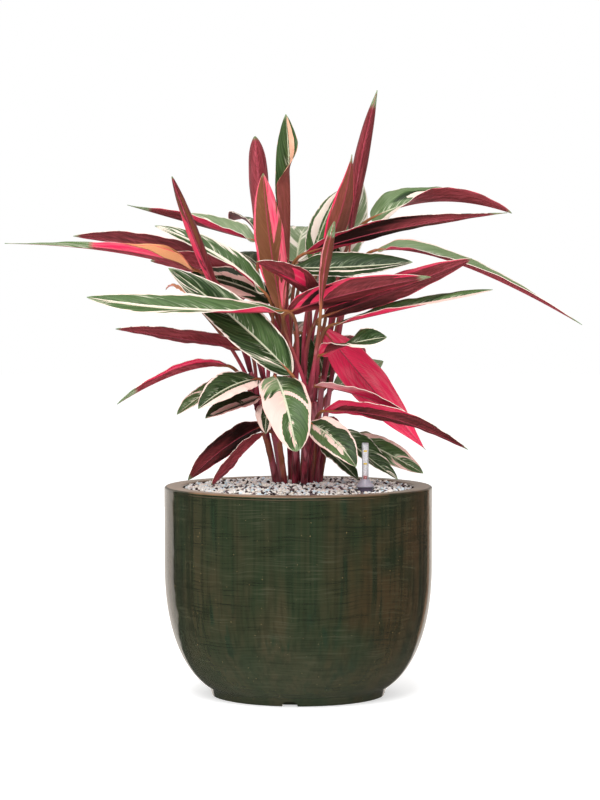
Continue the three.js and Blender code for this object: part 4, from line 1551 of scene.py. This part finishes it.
@dataclass(frozen=True)
class GlazeFinish:
    """A glossy brushed green glaze."""

    base: Colour = tint("#26301f")
    deep: Colour = tint("#191e13")
    olive: Colour = tint("#3b3726")
    teal: Colour = tint("#212f20")
    brown: Colour = tint("#47331f")
    lip: Colour = tint("#9a8069")
    tan: Colour = tint("#73593d")
    clay: Colour = tint("#8d6c50")
    speck: Colour = tint("#b79a6a")
    foot: Colour = tint("#43483a")
    haze: Colour = tint("#4f4e3d")

    def material(self, pot: "Pot") -> bpy.types.Material:
        """The glaze on a pot.

        Args:
            pot: The pot, whose sizes say where the lip and the inside are.

        Returns:
            The material.
        """
        paint = Paint("pot_glaze")
        spot, x, y, z = paint.place()
        reach = (x * x + y * y) ** 0.5
        columns = paint.noise(paint.stretched(spot, (75, 75, 5)), detail=3)
        threads = paint.noise(paint.stretched(spot, (220, 220, 6), (1, 1, 0)), detail=1)
        broad = paint.noise(paint.stretched(spot, (22, 22, 6), (3, 1, 0)), detail=3)
        clouds = paint.noise(spot, 16, 3)
        sway = paint.noise(spot, 12, 2)
        brushed = paint.noise(paint.vector(x * 16, y * 16, z * 480 + sway * 7), detail=3)
        fine = paint.noise(paint.vector(x * 30, y * 30, z * 800 + sway * 12), detail=1)
        worked = paint.noise(paint.stretched(spot, (24, 24, 34), (5, 0, 0)), detail=2)
        colour = paint.mix(broad.smooth(0.38, 0.64), self.base, self.olive)
        colour = paint.mix(columns.smooth(0.44, 0.6) * 0.55, colour, self.base)
        colour = paint.mix(columns.smooth(0.46, 0.32) * clouds.smooth(0.4, 0.6), colour, self.teal)
        # Painted shade: darker towards the right side of the pot, as seen from the front.
        colour = paint.mix((x * 8 + (broad - 0.5) * 2).smooth(0.1, 0.9) * 0.55, colour, self.deep)
        rust = (x * 6 + 0.4 + (columns - 0.5) * 1.5).smooth(0.4, 1.2)
        colour = paint.mix(rust * clouds.smooth(0.35, 0.6) * 0.55, colour, self.brown)
        edge = abs(x).smooth(0.09, 0.15)
        # Browner in patches at the left and right edges, as seen from the front.
        side_brown = abs(x + 0.006).smooth(0.13, 0.15) * columns.smooth(0.36, 0.56)
        colour = paint.mix(side_brown * 0.75, colour, self.brown)
        colour = paint.mix(threads.smooth(0.5, 0.62) * (edge * 0.35 + 0.3), colour, self.deep)
        colour = paint.mix(threads.smooth(0.46, 0.34) * (edge * 0.3 + 0.2), colour, self.olive)
        lined = worked.smooth(0.38, 0.6)
        colour = paint.mix(brushed.smooth(0.5, 0.32) * lined * 0.62, colour, self.deep)
        colour = paint.mix(brushed.smooth(0.52, 0.72) * (1.1 - lined) * 0.3, colour, self.haze)
        colour = paint.mix(fine.smooth(0.54, 0.7) * lined * 0.4, colour, self.deep)
        colour = paint.mix(fine.smooth(0.44, 0.3) * (1 - lined) * 0.25, colour, self.haze)
        colour = paint.mix(z.smooth(0.11, 0.02) * 0.3, colour, self.foot)
        specks = paint.noise(spot, 620, 0).smooth(0.862, 0.875)
        colour = paint.mix(specks * 0.55, colour, self.speck)
        top = z.smooth(pot.height * MM - 0.0024, pot.height * MM - 0.0008)
        outside = (reach - pot.radius * MM).smooth(-0.0035, -0.0015)
        lip = paint.mix((x * 6 + 0.2 + (columns - 0.5)).smooth(0.2, 1.0), self.lip, self.tan)
        colour = paint.mix(top * (1 - outside) * (0.85 + (columns - 0.5) * 0.5), colour, lip)
        # A dark band a few millimetres under the lip, with a broken painted highlight along its
        # middle.
        roll = abs(z - pot.height * MM + 0.0038 + (clouds - 0.5) * 0.003)
        colour = paint.mix(roll.smooth(0.0018, 0.0008) * 0.6, colour, self.deep)
        glint = roll.smooth(0.0009, 0.0002) * clouds.smooth(0.36, 0.6)
        colour = paint.mix(glint * 0.18, colour, lip)
        worn = outside * z.smooth(pot.height * MM - 0.0018, pot.height * MM - 0.0010)
        colour = paint.mix(worn * clouds.smooth(0.4, 0.6) * (0.7 - x * 3), colour, self.clay)
        return paint.finished(
            Base_Color=colour,
            Roughness=clouds * 0.1 + top * 0.4 + 0.05,
            Specular_IOR_Level=0.5,
            Coat_Weight=0.15,
            Coat_Roughness=0.05,
            Normal=paint.bump(worked, 0.0010, 0.8),
        )


@dataclass(frozen=True)
class Pot:
    """The pot, in millimetres."""

    radius: float = 161
    height: float = 252
    lip_width: float = 22
    outer_round: float = 3
    inner_round: float = 3
    bowl_top: float = 158
    bowl_waist: float = 72
    bowl_fullness: float = 2.22  # 2 is an ellipse, and more is fuller
    foot_height: float = 8.5
    foot_top_radius: float = 106
    foot_radius: float = 104.5
    foot_bevel: float = 1.5
    under_ring: float = 60  # a ring of points on the underside
    bowl_start: float = 1.5  # above the foot
    bowl_crowding: float = 1.6  # how much closer its points stand lower down
    bowl_steps: int = 26
    wall_top: float = 248  # the straight wall's last ring outside
    wall_rings: int = 10
    lip_steps: tuple[int, int] = (10, 8)
    inner_top: float = 240  # and its first ring inside
    inner_rings: int = 5
    inner_bowl_steps: int = 16
    floor: float = 20
    floor_radius: float = 85
    inner_bowl_top: float = 160
    notch_half: float = 9
    notch_height: float = 6
    notch_depth: float = 16
    notch_beyond: float = 12  # how far the cutter reaches past the foot
    notch_corner: float = 0.7  # 1 cuts an ellipse, and less a squarer notch
    notch_sides: int = 40
    notches: int = 4
    first_notch: float = -95.5
    steps: int = 192
    sharp: float = 35  # degrees past which an edge stays one
    finish: GlazeFinish = GlazeFinish()

    def _bowl(self) -> list[tuple[float, float]]:
        """The outer bowl's curve, from above the foot to the straight wall.

        Returns:
            Radius and height of each point.
        """
        shares = (np.arange(self.bowl_steps + 1) / self.bowl_steps) ** self.bowl_crowding
        heights = lerp(self.foot_height + self.bowl_start, self.bowl_top, shares)
        drop = (self.bowl_top - heights) / self.bowl_top
        full = (1 - drop ** self.bowl_fullness) ** (1 / self.bowl_fullness)
        radii = self.bowl_waist + (self.radius - self.bowl_waist) * full
        return list(zip(radii, heights))

    def outline(self) -> np.ndarray:
        """The wall's outline, from under the middle round the lip to the floor's middle.

        Returns:
            Radius and height of each point, in metres.
        """
        inner = self.radius - self.lip_width
        foot = [(0, 0), (self.under_ring, 0), (self.foot_radius - self.foot_bevel, 0),
                (self.foot_radius - 0.4, 0.4), (self.foot_radius, self.foot_bevel),
                (self.foot_top_radius, self.foot_height - 1),
                (self.foot_top_radius + 1.0, self.foot_height - 0.1)]
        wall = [(self.radius, height)
                for height in np.linspace(self.bowl_top, self.wall_top, self.wall_rings)]
        outer = arc(self.radius - self.outer_round, self.height - self.outer_round,
                    self.outer_round, self.outer_round, 0, 90, self.lip_steps[0])
        top = arc(inner + self.inner_round, self.height - self.inner_round,
                  self.inner_round, self.inner_round, 90, 180, self.lip_steps[1])
        inside = [(inner, height) for height in
                  np.linspace(self.inner_top, self.inner_bowl_top + 4, self.inner_rings)]
        bowl = arc(self.floor_radius, self.inner_bowl_top, inner - self.floor_radius,
                   self.inner_bowl_top - self.floor, 0, -90, self.inner_bowl_steps)
        return profile_points([foot, self._bowl(), wall, outer, top, inside, bowl,
                               [(0, self.floor)]])

    def build(self) -> None:
        """Build, dress and place the pot."""
        pot = turned("glazed_pot", self.outline(), self.steps)
        for index in range(self.notches):
            cutter = self._notch(math.radians(self.first_notch + 360 / self.notches * index))
            applied(pot, "BOOLEAN", operation="DIFFERENCE", object=cutter, solver="EXACT")
            bpy.data.objects.remove(cutter)
        dressed(smoothed(pot, self.sharp), self.finish.material(self))
        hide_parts("pot")
        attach(pot, "root")
        log.info("pot: %d faces", len(pot.data.polygons))

    def _notch(self, angle: float) -> bpy.types.Object:
        """A rounded cutter that lies across the foot's edge.

        Args:
            angle: Where round the foot, in radians.

        Returns:
            The cutter.
        """
        pick_only()
        bpy.ops.mesh.primitive_cylinder_add(vertices=self.notch_sides, radius=1, depth=1)
        cutter = bpy.context.object
        spots = points_of(cutter)
        low, high = self.foot_radius - self.notch_depth, self.foot_radius + self.notch_beyond
        out = lerp(low, high, spots[:, 2] + 0.5)
        square = np.sign(spots[:, :2]) * np.abs(spots[:, :2]) ** self.notch_corner
        side = square[:, 0] * self.notch_half
        height = square[:, 1] * self.notch_height
        points = np.stack([out * math.cos(angle) - side * math.sin(angle),
                           out * math.sin(angle) + side * math.cos(angle), height], axis=1)
        move_points(cutter, points * MM)
        return welded(cutter)


# ---- granules and roots


@dataclass(frozen=True)
class GranuleFinish:
    """Mixed mineral granules: cream, grey white and purple brown."""

    cream: Colour = tint("#fdf3e4")
    white: Colour = tint("#ffffff")
    blue: Colour = tint("#d2ecf8")
    brown: Colour = tint("#6f5d60")
    dark: Colour = tint("#2e2020")

    def _stops(self) -> list[tuple[float, Colour]]:
        """The granules' colours by how often they come.

        Returns:
            A ramp's stops.
        """
        return [(0.0, self.dark), (0.1, self.dark), (0.11, self.brown), (0.22, self.brown),
                (0.23, self.cream), (0.55, self.white), (0.78, self.cream), (0.86, self.blue),
                (1.0, self.white)]

    def loose(self) -> bpy.types.Material:
        """The single granules of the top layer, each with a colour of its own.

        Returns:
            The material.
        """
        paint = Paint("granules_loose")
        spot, *_ = paint.place()
        kind, shade, rise = paint.split(paint.marks("granule").outputs["Color"])
        colour = paint.ramp(kind, self._stops())
        grain = paint.noise(spot, 1500, 2)
        colour = paint.mix(grain.smooth(0.5, 0.75) * 0.1, colour, self.brown)
        # Painted shade: each granule darker towards its lower side, with a little random darkening
        # per granule.
        colour = paint.mix(rise.smooth(0.5, 0.1) * 0.8 + shade * 0.05, colour, self.dark)
        return paint.finished(Base_Color=colour, Roughness=grain * 0.2 + 0.7,
                              Normal=paint.bump(grain, 0.0004, 0.5))

    def packed(self) -> bpy.types.Material:
        """Granules pressed together in one face.

        Returns:
            The material.
        """
        paint = Paint("granules_packed")
        spot, *_ = paint.place()
        cells = paint.node("ShaderNodeTexVoronoi", {"feature": "F1"},
                           {"Vector": spot, "Scale": 270.0})
        kind, *_ = paint.split(cells.outputs["Color"])
        far = Wire(paint, cells.outputs["Distance"])
        colour = paint.ramp(kind, self._stops())
        # Painted shade: dark towards the cell borders, in the gaps between the granules.
        colour = paint.mix(far.smooth(0.2, 0.5), colour, self.dark)
        return paint.finished(Base_Color=colour, Roughness=far * 0.2 + 0.7,
                              Normal=paint.bump(1 - far, 0.0015, 0.8))


@dataclass(frozen=True)
class RootFinish:
    """Fine brown roots matted with soil."""

    soil: Colour = tint("#3a2a20")
    root: Colour = tint("#9a7a58")

    def material(self) -> bpy.types.Material:
        """The root ball's material.

        Returns:
            The material.
        """
        paint = Paint("roots")
        spot, *_ = paint.place()
        threads = paint.noise(paint.stretched(spot, (160, 160, 38)), detail=4, rough=0.65)
        crossed = paint.noise(paint.stretched(spot, (60, 60, 190), (1, 2, 3)), detail=3)
        strands = abs(threads - 0.5).smooth(0.05, 0.01).most(abs(crossed - 0.5).smooth(0.03, 0.005))
        colour = paint.mix(strands, self.soil, self.root)
        return paint.finished(Base_Color=colour, Roughness=threads * 0.2 + 0.75,
                              Normal=paint.bump(strands, 0.001, 0.7))


@dataclass
class Granules:
    """The loose top layer of granules, in millimetres."""

    stems: list[tuple[float, float, float]]  # what stands in it: place and radius
    crown: float = 256.5
    at_wall: float = 248.0
    wall: float = 138.5  # the layer's radius at the wall
    reach: float = 135.0  # the largest distance of a granule from the middle
    spacing: float = 4.5
    row_pitch: float = 0.87  # of the spacing
    shake: float = 0.75
    clearance: float = 1.2  # round what stands in them
    lift: float = 0.15  # mean height over the layer's surface
    unevenness: float = 0.8  # and its spread
    size: tuple[float, float] = (1.8, 2.6)
    dents: tuple[float, float] = (0.85, 1.1)  # how far out a lump's corners are
    stretch: tuple[float, float] = (0.85, 1.15)
    hollow: float = 2.0  # how much lower they lie against the first thing that stands in them
    hollow_reach: tuple[float, float] = (14, 34)  # from its middle
    kinds: int = 8
    seed: int = 41
    finish: GranuleFinish = field(default_factory=GranuleFinish)
    roots: RootFinish = field(default_factory=RootFinish)

    def _surface(self, reach: np.ndarray) -> np.ndarray:
        """The layer's height by the distance from the middle."""
        return lerp(self.crown, self.at_wall, (reach / self.wall) ** 2)

    def _places(self, draws: np.random.Generator) -> np.ndarray:
        """Where the granules lie: shaken rows, open round what stands in them.

        Args:
            draws: The random numbers.

        Returns:
            The places, in millimetres.
        """
        count = int(self.reach / self.spacing) + 1
        rows = []
        for row in range(-count, count + 1):
            for step in range(-count, count + 1):
                rows.append(((step + 0.5 * (row % 2)) * self.spacing,
                             row * self.spacing * self.row_pitch))
        spots = np.array(rows) + draws.normal(0, self.shake, (len(rows), 2))
        keep = np.hypot(spots[:, 0], spots[:, 1]) < self.reach
        for x, y, radius in self.stems:
            keep &= np.hypot(spots[:, 0] - x, spots[:, 1] - y) > radius + self.clearance
        spots = spots[keep]
        heights = self._surface(np.hypot(spots[:, 0], spots[:, 1]))
        heights = heights + draws.normal(self.lift, self.unevenness, len(spots))
        near = np.hypot(spots[:, 0] - self.stems[0][0], spots[:, 1] - self.stems[0][1])
        heights -= self.hollow * (1 - eased(near, *self.hollow_reach))
        return np.column_stack([spots, heights])

    def _layer(self) -> bpy.types.Object:
        """The loose granules as one piece, each with a colour of its own in its points.

        Returns:
            The piece.
        """
        draws = np.random.default_rng(self.seed)
        places = self._places(draws)
        pick_only()
        bpy.ops.mesh.primitive_ico_sphere_add(subdivisions=1, radius=1.0)
        lump = bpy.context.object
        ball = points_of(lump)
        faces = np.array([tuple(face.vertices) for face in lump.data.polygons])
        shapes = [ball * draws.uniform(*self.dents, (len(ball), 1)) for _ in range(self.kinds)]
        bpy.data.objects.remove(lump)
        points, corners, marks = [], [], []
        for index, place in enumerate(places):
            turn = np.linalg.qr(draws.normal(size=(3, 3)))[0]
            turn[:, 0] *= np.sign(np.linalg.det(turn))
            stretch = draws.uniform(*self.size) * draws.uniform(*self.stretch, 3)
            lump = (shapes[index % self.kinds] * stretch) @ turn.T
            points.append(lump + place)
            corners.append(faces + index * len(ball))
            mark = np.tile((draws.uniform(), draws.uniform() ** 2, 0, 1), (len(ball), 1))
            # Each point's height in its granule, which the material turns into painted shade on the
            # granule's lower side.
            mark[:, 2] = 0.5 + lump[:, 2] / (2 * self.size[1])
            marks.append(mark)
        mesh = bpy.data.meshes.new("loose_granules")
        mesh.from_pydata((np.concatenate(points) * MM).tolist(), [],
                         np.concatenate(corners).tolist())
        layer = bpy.data.objects.new("loose_granules", mesh)
        bpy.context.scene.collection.objects.link(layer)
        mark = mesh.attributes.new("granule", "FLOAT_COLOR", "POINT")
        mark.data.foreach_set("color", np.concatenate(marks).astype(np.float32).ravel())
        mesh.polygons.foreach_set("use_smooth", [True] * len(mesh.polygons))
        return layer

    def build(self) -> None:
        """Build the loose layer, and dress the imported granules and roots."""
        layer = dressed(self._layer(), self.finish.loose())
        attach(layer, "root")
        packed = self.finish.packed()
        inside = {"gravel_top": packed, "granule_fill": packed,
                  "root_ball": self.roots.material()}
        for node, material in inside.items():
            dressed(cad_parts[node], material)
        log.info("loose granules: %d faces", len(layer.data.polygons))


# ---- the water gauge


@dataclass(frozen=True)
class GaugeFinish:
    """The gauge's grey, clear and red plastics."""

    grey: Colour = tint("#b4b1bd")
    shadow: Colour = tint("#4d3f57")
    clear: Colour = tint("#f8f8fa")
    mark: Colour = tint("#d8b52c")
    red: Colour = tint("#c02a20")
    white: Colour = tint("#e4e2dc")
    # The band between these heights is painted shadow under the collar's brim.
    band_top: tuple[float, float] = (0.2562, 0.2554)  # heights between which the band ends
    band_foot: tuple[float, float] = (0.2485, 0.2500)  # and starts

    def collar(self) -> bpy.types.Material:
        """The pipe and its collar: grey, with a band of painted shadow low on the collar.

        Returns:
            The material.
        """
        paint = Paint("gauge_grey")
        spot, _, _, z = paint.place()
        mottle = paint.noise(spot, 700, 2)
        band = z.smooth(*self.band_top) * z.smooth(*self.band_foot)
        colour = paint.mix(mottle * 0.35, self.grey, self.shadow)
        # Painted shadow under the collar's brim.
        colour = paint.mix(band * 0.9, colour, self.shadow)
        return paint.finished(Base_Color=colour, Roughness=mottle * 0.15 + 0.28,
                              Normal=paint.bump(mottle, 0.0002, 0.3))

    def tube(self, gauge: "Gauge") -> bpy.types.Material:
        """The clear tube with its printed scale.

        Args:
            gauge: The gauge, whose sizes say where the scale's marks are.

        Returns:
            The material.
        """
        paint = Paint("gauge_clear")
        spot, _, y, z = paint.place()
        haze = paint.noise(spot, 400, 2)
        front = (y - gauge.at[1] * MM).smooth(-0.0032, -0.0036)
        window = (y - gauge.at[1] * MM).smooth(-0.0004, -0.0014)
        marks = front * 0
        for height in gauge.marks:
            marks = marks + abs(z - height * MM).smooth(0.0011, 0.0008) * front
        colour = paint.mix(haze * 0.15, self.clear, self.grey)
        colour = paint.mix(marks, colour, self.mark)
        return paint.finished(Base_Color=colour, Roughness=haze * 0.1 + 0.05,
                              Alpha=(marks + (haze * 0.1 + 0.9 - window * 0.85)).least(1.0))

    def indicator(self, gauge: "Gauge") -> bpy.types.Material:
        """The float: white, with a red tip.

        Args:
            gauge: The gauge, whose sizes say where the tip starts.

        Returns:
            The material.
        """
        paint = Paint("gauge_indicator")
        spot, _, _, z = paint.place()
        mottle = paint.noise(spot, 500, 2)
        tip = z.smooth(gauge.tip_bottom * MM - 0.0006, gauge.tip_bottom * MM - 0.0002)
        colour = paint.mix(mottle * 0.25, self.white, self.grey)
        colour = paint.mix(tip, colour, self.red)
        return paint.finished(Base_Color=colour, Roughness=mottle * 0.2 + 0.3,
                              Normal=paint.bump(mottle, 0.0002, 0.3))


@dataclass(frozen=True)
class Gauge:
    """The water gauge, in millimetres."""

    at: tuple[float, float] = (79, -68)
    pipe: float = 6
    bore: float = 4.7
    bottom: float = 50
    middle: float = 150  # a ring of points half way up the pipe
    sill_bore: float = 2.6
    sill: float = 3
    ledge_bottom: float = 256
    ledge_top: float = 258.5
    ledge_bore: float = 2.8
    collar_bottom: float = 249
    brim: float = 256.6
    collar_top: float = 265
    collar: float = 10.8
    collar_skirt: float = 8.9
    collar_neck: float = 5.4
    tube: float = 4
    tube_bore: float = 3
    tube_ring: float = 285  # a ring of points half way up the tube
    tube_top: float = 308
    tube_cap: float = 1.6
    gap: float = 0.3
    float_radius: float = 3.9
    float_length: float = 60
    rod: float = 1.2
    tip: float = 2.2
    tip_bottom: float = 262.5
    tip_top: float = 269
    marks: tuple[float, ...] = (298.4, 283.4)
    flare_points: int = 9
    flare_bend: float = 1.25  # 1 is a cone, and more is hollower
    steps: int = 48
    sharp: float = 35  # degrees past which an edge stays one
    finish: GaugeFinish = GaugeFinish()

    def _placed(self, name: str, node: str, body: str,
                outline: list[tuple[float, float]], material: bpy.types.Material,
                closed: bool) -> None:
        """Turn, dress and place one of the gauge's pieces.

        Args:
            name: The piece's name.
            node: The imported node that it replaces.
            body: The body that it moves with.
            outline: Radius and height of its points, in millimetres.
            material: Its material.
            closed: Whether the outline ends where it starts.
        """
        centre = (self.at[0] * MM, self.at[1] * MM)
        piece = turned(name, profile_points([outline]), self.steps, closed, centre)
        dressed(smoothed(piece, self.sharp), material)
        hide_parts(node)
        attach(piece, body)
        log.info("%s: %d faces", name, len(piece.data.polygons))

    def build(self) -> None:
        """Build, dress and place the gauge's three pieces."""
        self._placed("gauge_pipe_and_collar", "gauge_body", "root",
                     self._collar_outline(), self.finish.collar(), True)
        self._placed("gauge_clear_tube", "gauge_sight_tube", "root",
                     self._tube_outline(), self.finish.tube(self), False)
        self._placed("gauge_red_float", "gauge_float", "indicator",
                     self._float_outline(), self.finish.indicator(self), False)

    def _collar_outline(self) -> list[tuple[float, float]]:
        """The outline of the pipe with its flared collar.

        Returns:
            Radius and height of each point.
        """
        seat = self.tube + self.gap
        outer = self.collar
        skirt = self.collar_skirt
        flare = []
        for share in np.linspace(0, 1, self.flare_points):
            radius = lerp(outer - 1.0, self.collar_neck, 1 - (1 - share) ** self.flare_bend)
            flare.append((radius, lerp(self.brim + 1.4, self.collar_top - 0.3, share)))
        return [
            (self.sill_bore, self.bottom), (self.pipe - 0.4, self.bottom),
            (self.pipe, self.bottom + 0.4), (self.pipe, self.middle),
            (self.pipe, self.collar_bottom), (skirt - 0.5, self.collar_bottom),
            (skirt - 0.1, self.collar_bottom + 0.4), (skirt, self.brim - 1.4),
            (outer - 0.5, self.brim - 0.9), (outer - 0.1, self.brim - 0.5), (outer, self.brim),
            (outer - 0.1, self.brim + 0.5), (outer - 0.4, self.brim + 1.0), *flare,
            (self.collar_neck - 0.3, self.collar_top), (seat, self.collar_top),
            (seat, self.ledge_top), (self.ledge_bore, self.ledge_top),
            (self.ledge_bore, self.ledge_bottom), (self.bore, self.ledge_bottom - 2),
            (self.bore, self.middle), (self.bore, self.bottom + self.sill),
            (self.sill_bore, self.bottom + self.sill),
        ]

    def _tube_outline(self) -> list[tuple[float, float]]:
        """The outline of the tube, closed at the top.

        Returns:
            Radius and height of each point.
        """
        foot = self.ledge_top + self.gap
        crown = arc(self.tube - 1, self.tube_top - 1, 1, 1, 0, 90, 5)
        return [(0, self.tube_top - self.tube_cap), (self.tube_bore, self.tube_top - self.tube_cap),
                (self.tube_bore, foot), (self.tube, foot), (self.tube, self.tube_ring),
                *crown, (0, self.tube_top)]

    def _float_outline(self) -> list[tuple[float, float]]:
        """The outline of the float, its rod and its tip.

        Returns:
            Radius and height of each point.
        """
        foot = self.bottom + self.sill + self.gap
        top = foot + self.float_length
        return [(0, foot), (self.float_radius - 0.5, foot), (self.float_radius, foot + 0.5),
                (self.float_radius, top - 0.5), (self.float_radius - 0.4, top), (self.rod, top + 3),
                (self.rod, self.tip_bottom), (self.tip - 0.3, self.tip_bottom),
                (self.tip, self.tip_bottom + 0.3), (self.tip, self.tip_top - 0.4),
                (self.tip - 0.4, self.tip_top), (0, self.tip_top)]


# ---- studio


@dataclass(frozen=True)
class Softbox:
    """One soft light."""

    name: str
    at: tuple[float, float, float]
    aim: tuple[float, float, float]
    size: tuple[float, float]
    watts: float
    mirrored: bool  # whether gloss shows it
    tint: tuple[float, float, float] = (1.0, 1.0, 1.0)


@dataclass
class Studio:
    """The camera, the pale floor and the soft lights."""

    camera_at: tuple[float, float, float] = (0.002, -3.6, 0.540)
    camera_aim: tuple[float, float, float] = (0.002, 0.0, 0.355)
    lens: float = 135.0
    sensor: float = 36
    clip_end: float = 50
    floor_radius: float = 9
    floor_sides: int = 96
    ambient: float = 0.62
    mirrored: float = 0.06  # what the gloss of the pieces sees of the room
    lights: tuple[Softbox, ...] = (
        Softbox("top", (-0.2, -1.2, 2.2), (0, 0, 0.3), (1.4, 1.4), 42, True),
        Softbox("front", (-0.6, -3.0, 1.6), (0, 0, 0.35), (2.0, 1.6), 26, False),
        Softbox("backdrop", (-0.65, 2.6, 0.6), (-0.65, 0, 0.6), (4.2, 2.8), 32, True,
                (1.0, 0.92, 0.84)),
        Softbox("warm", (1.65, 2.6, 0.6), (1.65, 0, 0.6), (0.4, 2.8), 1.4, True, (1.0, 0.6, 0.36)),
    )

    def camera(self) -> None:
        """Place the camera and make it the scene's."""
        bpy.ops.object.camera_add(location=self.camera_at)
        camera = bpy.context.object
        camera.name = "camera"
        way = Vector(self.camera_aim) - Vector(self.camera_at)
        camera.rotation_euler = way.to_track_quat("-Z", "Y").to_euler()
        camera.data.lens = self.lens
        camera.data.sensor_fit = "VERTICAL"
        camera.data.sensor_height = self.sensor
        camera.data.clip_end = self.clip_end
        bpy.context.scene.camera = camera

    def build(self) -> None:
        """Lay the floor, hang the lights and light the room."""
        bpy.context.scene.view_settings.view_transform = "Standard"
        self._floor()
        for light in self.lights:
            self._hang(light)
        self._room()

    def _floor(self) -> None:
        """The plain pale floor."""
        pick_only()
        bpy.ops.mesh.primitive_circle_add(vertices=self.floor_sides, radius=self.floor_radius,
                                          fill_type="NGON")
        floor = bpy.context.object
        floor.name = "floor"
        floor.visible_glossy = False
        paint = Paint("floor")
        spot, *_ = paint.place()
        mottle = paint.noise(spot, 3, 2)
        colour = paint.mix(mottle, tint("#fbfbfb"), tint("#f6f6f6"))
        dressed(floor, paint.finished(
            Base_Color=colour, Roughness=mottle * 0.1 + 0.85, Specular_IOR_Level=0.0,
            Emission_Color=(1.0, 1.0, 1.0, 1.0), Emission_Strength=0.5))

    def _hang(self, light: Softbox) -> None:
        """Hang one light and point it.

        Args:
            light: The light.
        """
        bpy.ops.object.light_add(type="AREA", location=light.at)
        lamp = bpy.context.object
        lamp.name = f"light_{light.name}"
        way = Vector(light.aim) - Vector(light.at)
        lamp.rotation_euler = way.to_track_quat("-Z", "Y").to_euler()
        lamp.data.shape = "RECTANGLE"
        lamp.data.size, lamp.data.size_y = light.size
        lamp.data.energy = light.watts
        lamp.data.color = light.tint
        lamp.visible_camera = False
        lamp.visible_glossy = light.mirrored

    def _room(self) -> None:
        """A white room to look at that gives less light than it shows."""
        world = bpy.data.worlds.new("room")
        world.use_nodes = True
        tree = world.node_tree
        tree.nodes.clear()
        path = tree.nodes.new("ShaderNodeLightPath")
        gloss = tree.nodes.new("ShaderNodeBackground")
        gloss.inputs[0].default_value = (1, 1, 1, 1)
        gloss.inputs[1].default_value = self.mirrored
        by_gloss = tree.nodes.new("ShaderNodeMixShader")
        shown = tree.nodes.new("ShaderNodeBackground")
        shown.inputs[0].default_value = (1, 1, 1, 1)
        lit = tree.nodes.new("ShaderNodeBackground")
        lit.inputs[0].default_value = (1, 1, 1, 1)
        lit.inputs[1].default_value = self.ambient
        mixed = tree.nodes.new("ShaderNodeMixShader")
        out = tree.nodes.new("ShaderNodeOutputWorld")
        tree.links.new(path.outputs["Is Camera Ray"], mixed.inputs[0])
        tree.links.new(path.outputs["Is Glossy Ray"], by_gloss.inputs[0])
        tree.links.new(lit.outputs[0], by_gloss.inputs[1])
        tree.links.new(gloss.outputs[0], by_gloss.inputs[2])
        tree.links.new(by_gloss.outputs[0], mixed.inputs[1])
        tree.links.new(shown.outputs[0], mixed.inputs[2])
        tree.links.new(mixed.outputs[0], out.inputs[0])
        bpy.context.scene.world = world


def corners(bounds: object) -> list[list[float]]:
    """A box's two corners as plain numbers."""
    return [[float(value) for value in corner] for corner in bounds]


def main() -> None:
    """Build the plant, its pot, its gauge and the studio."""
    logging.basicConfig(level=logging.INFO, format="%(name)s: %(message)s")
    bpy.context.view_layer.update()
    studio = Studio()
    studio.camera()
    Pot().build()
    gauge = Gauge()
    gauge.build()
    foliage = Foliage(SHOOTS)
    canes = foliage.cane_form
    stems = [(*gauge.at, gauge.collar)]
    for plan in SHOOTS:
        spot = foliage.cane_line(plan).at(np.array([canes.surface]))[0]
        stems.append((float(spot[0]), float(spot[1]), canes.root))
    Granules(stems).build()
    foliage.build()
    studio.build()
    bpy.context.view_layer.update()


if __name__ == "__main__":
    main()
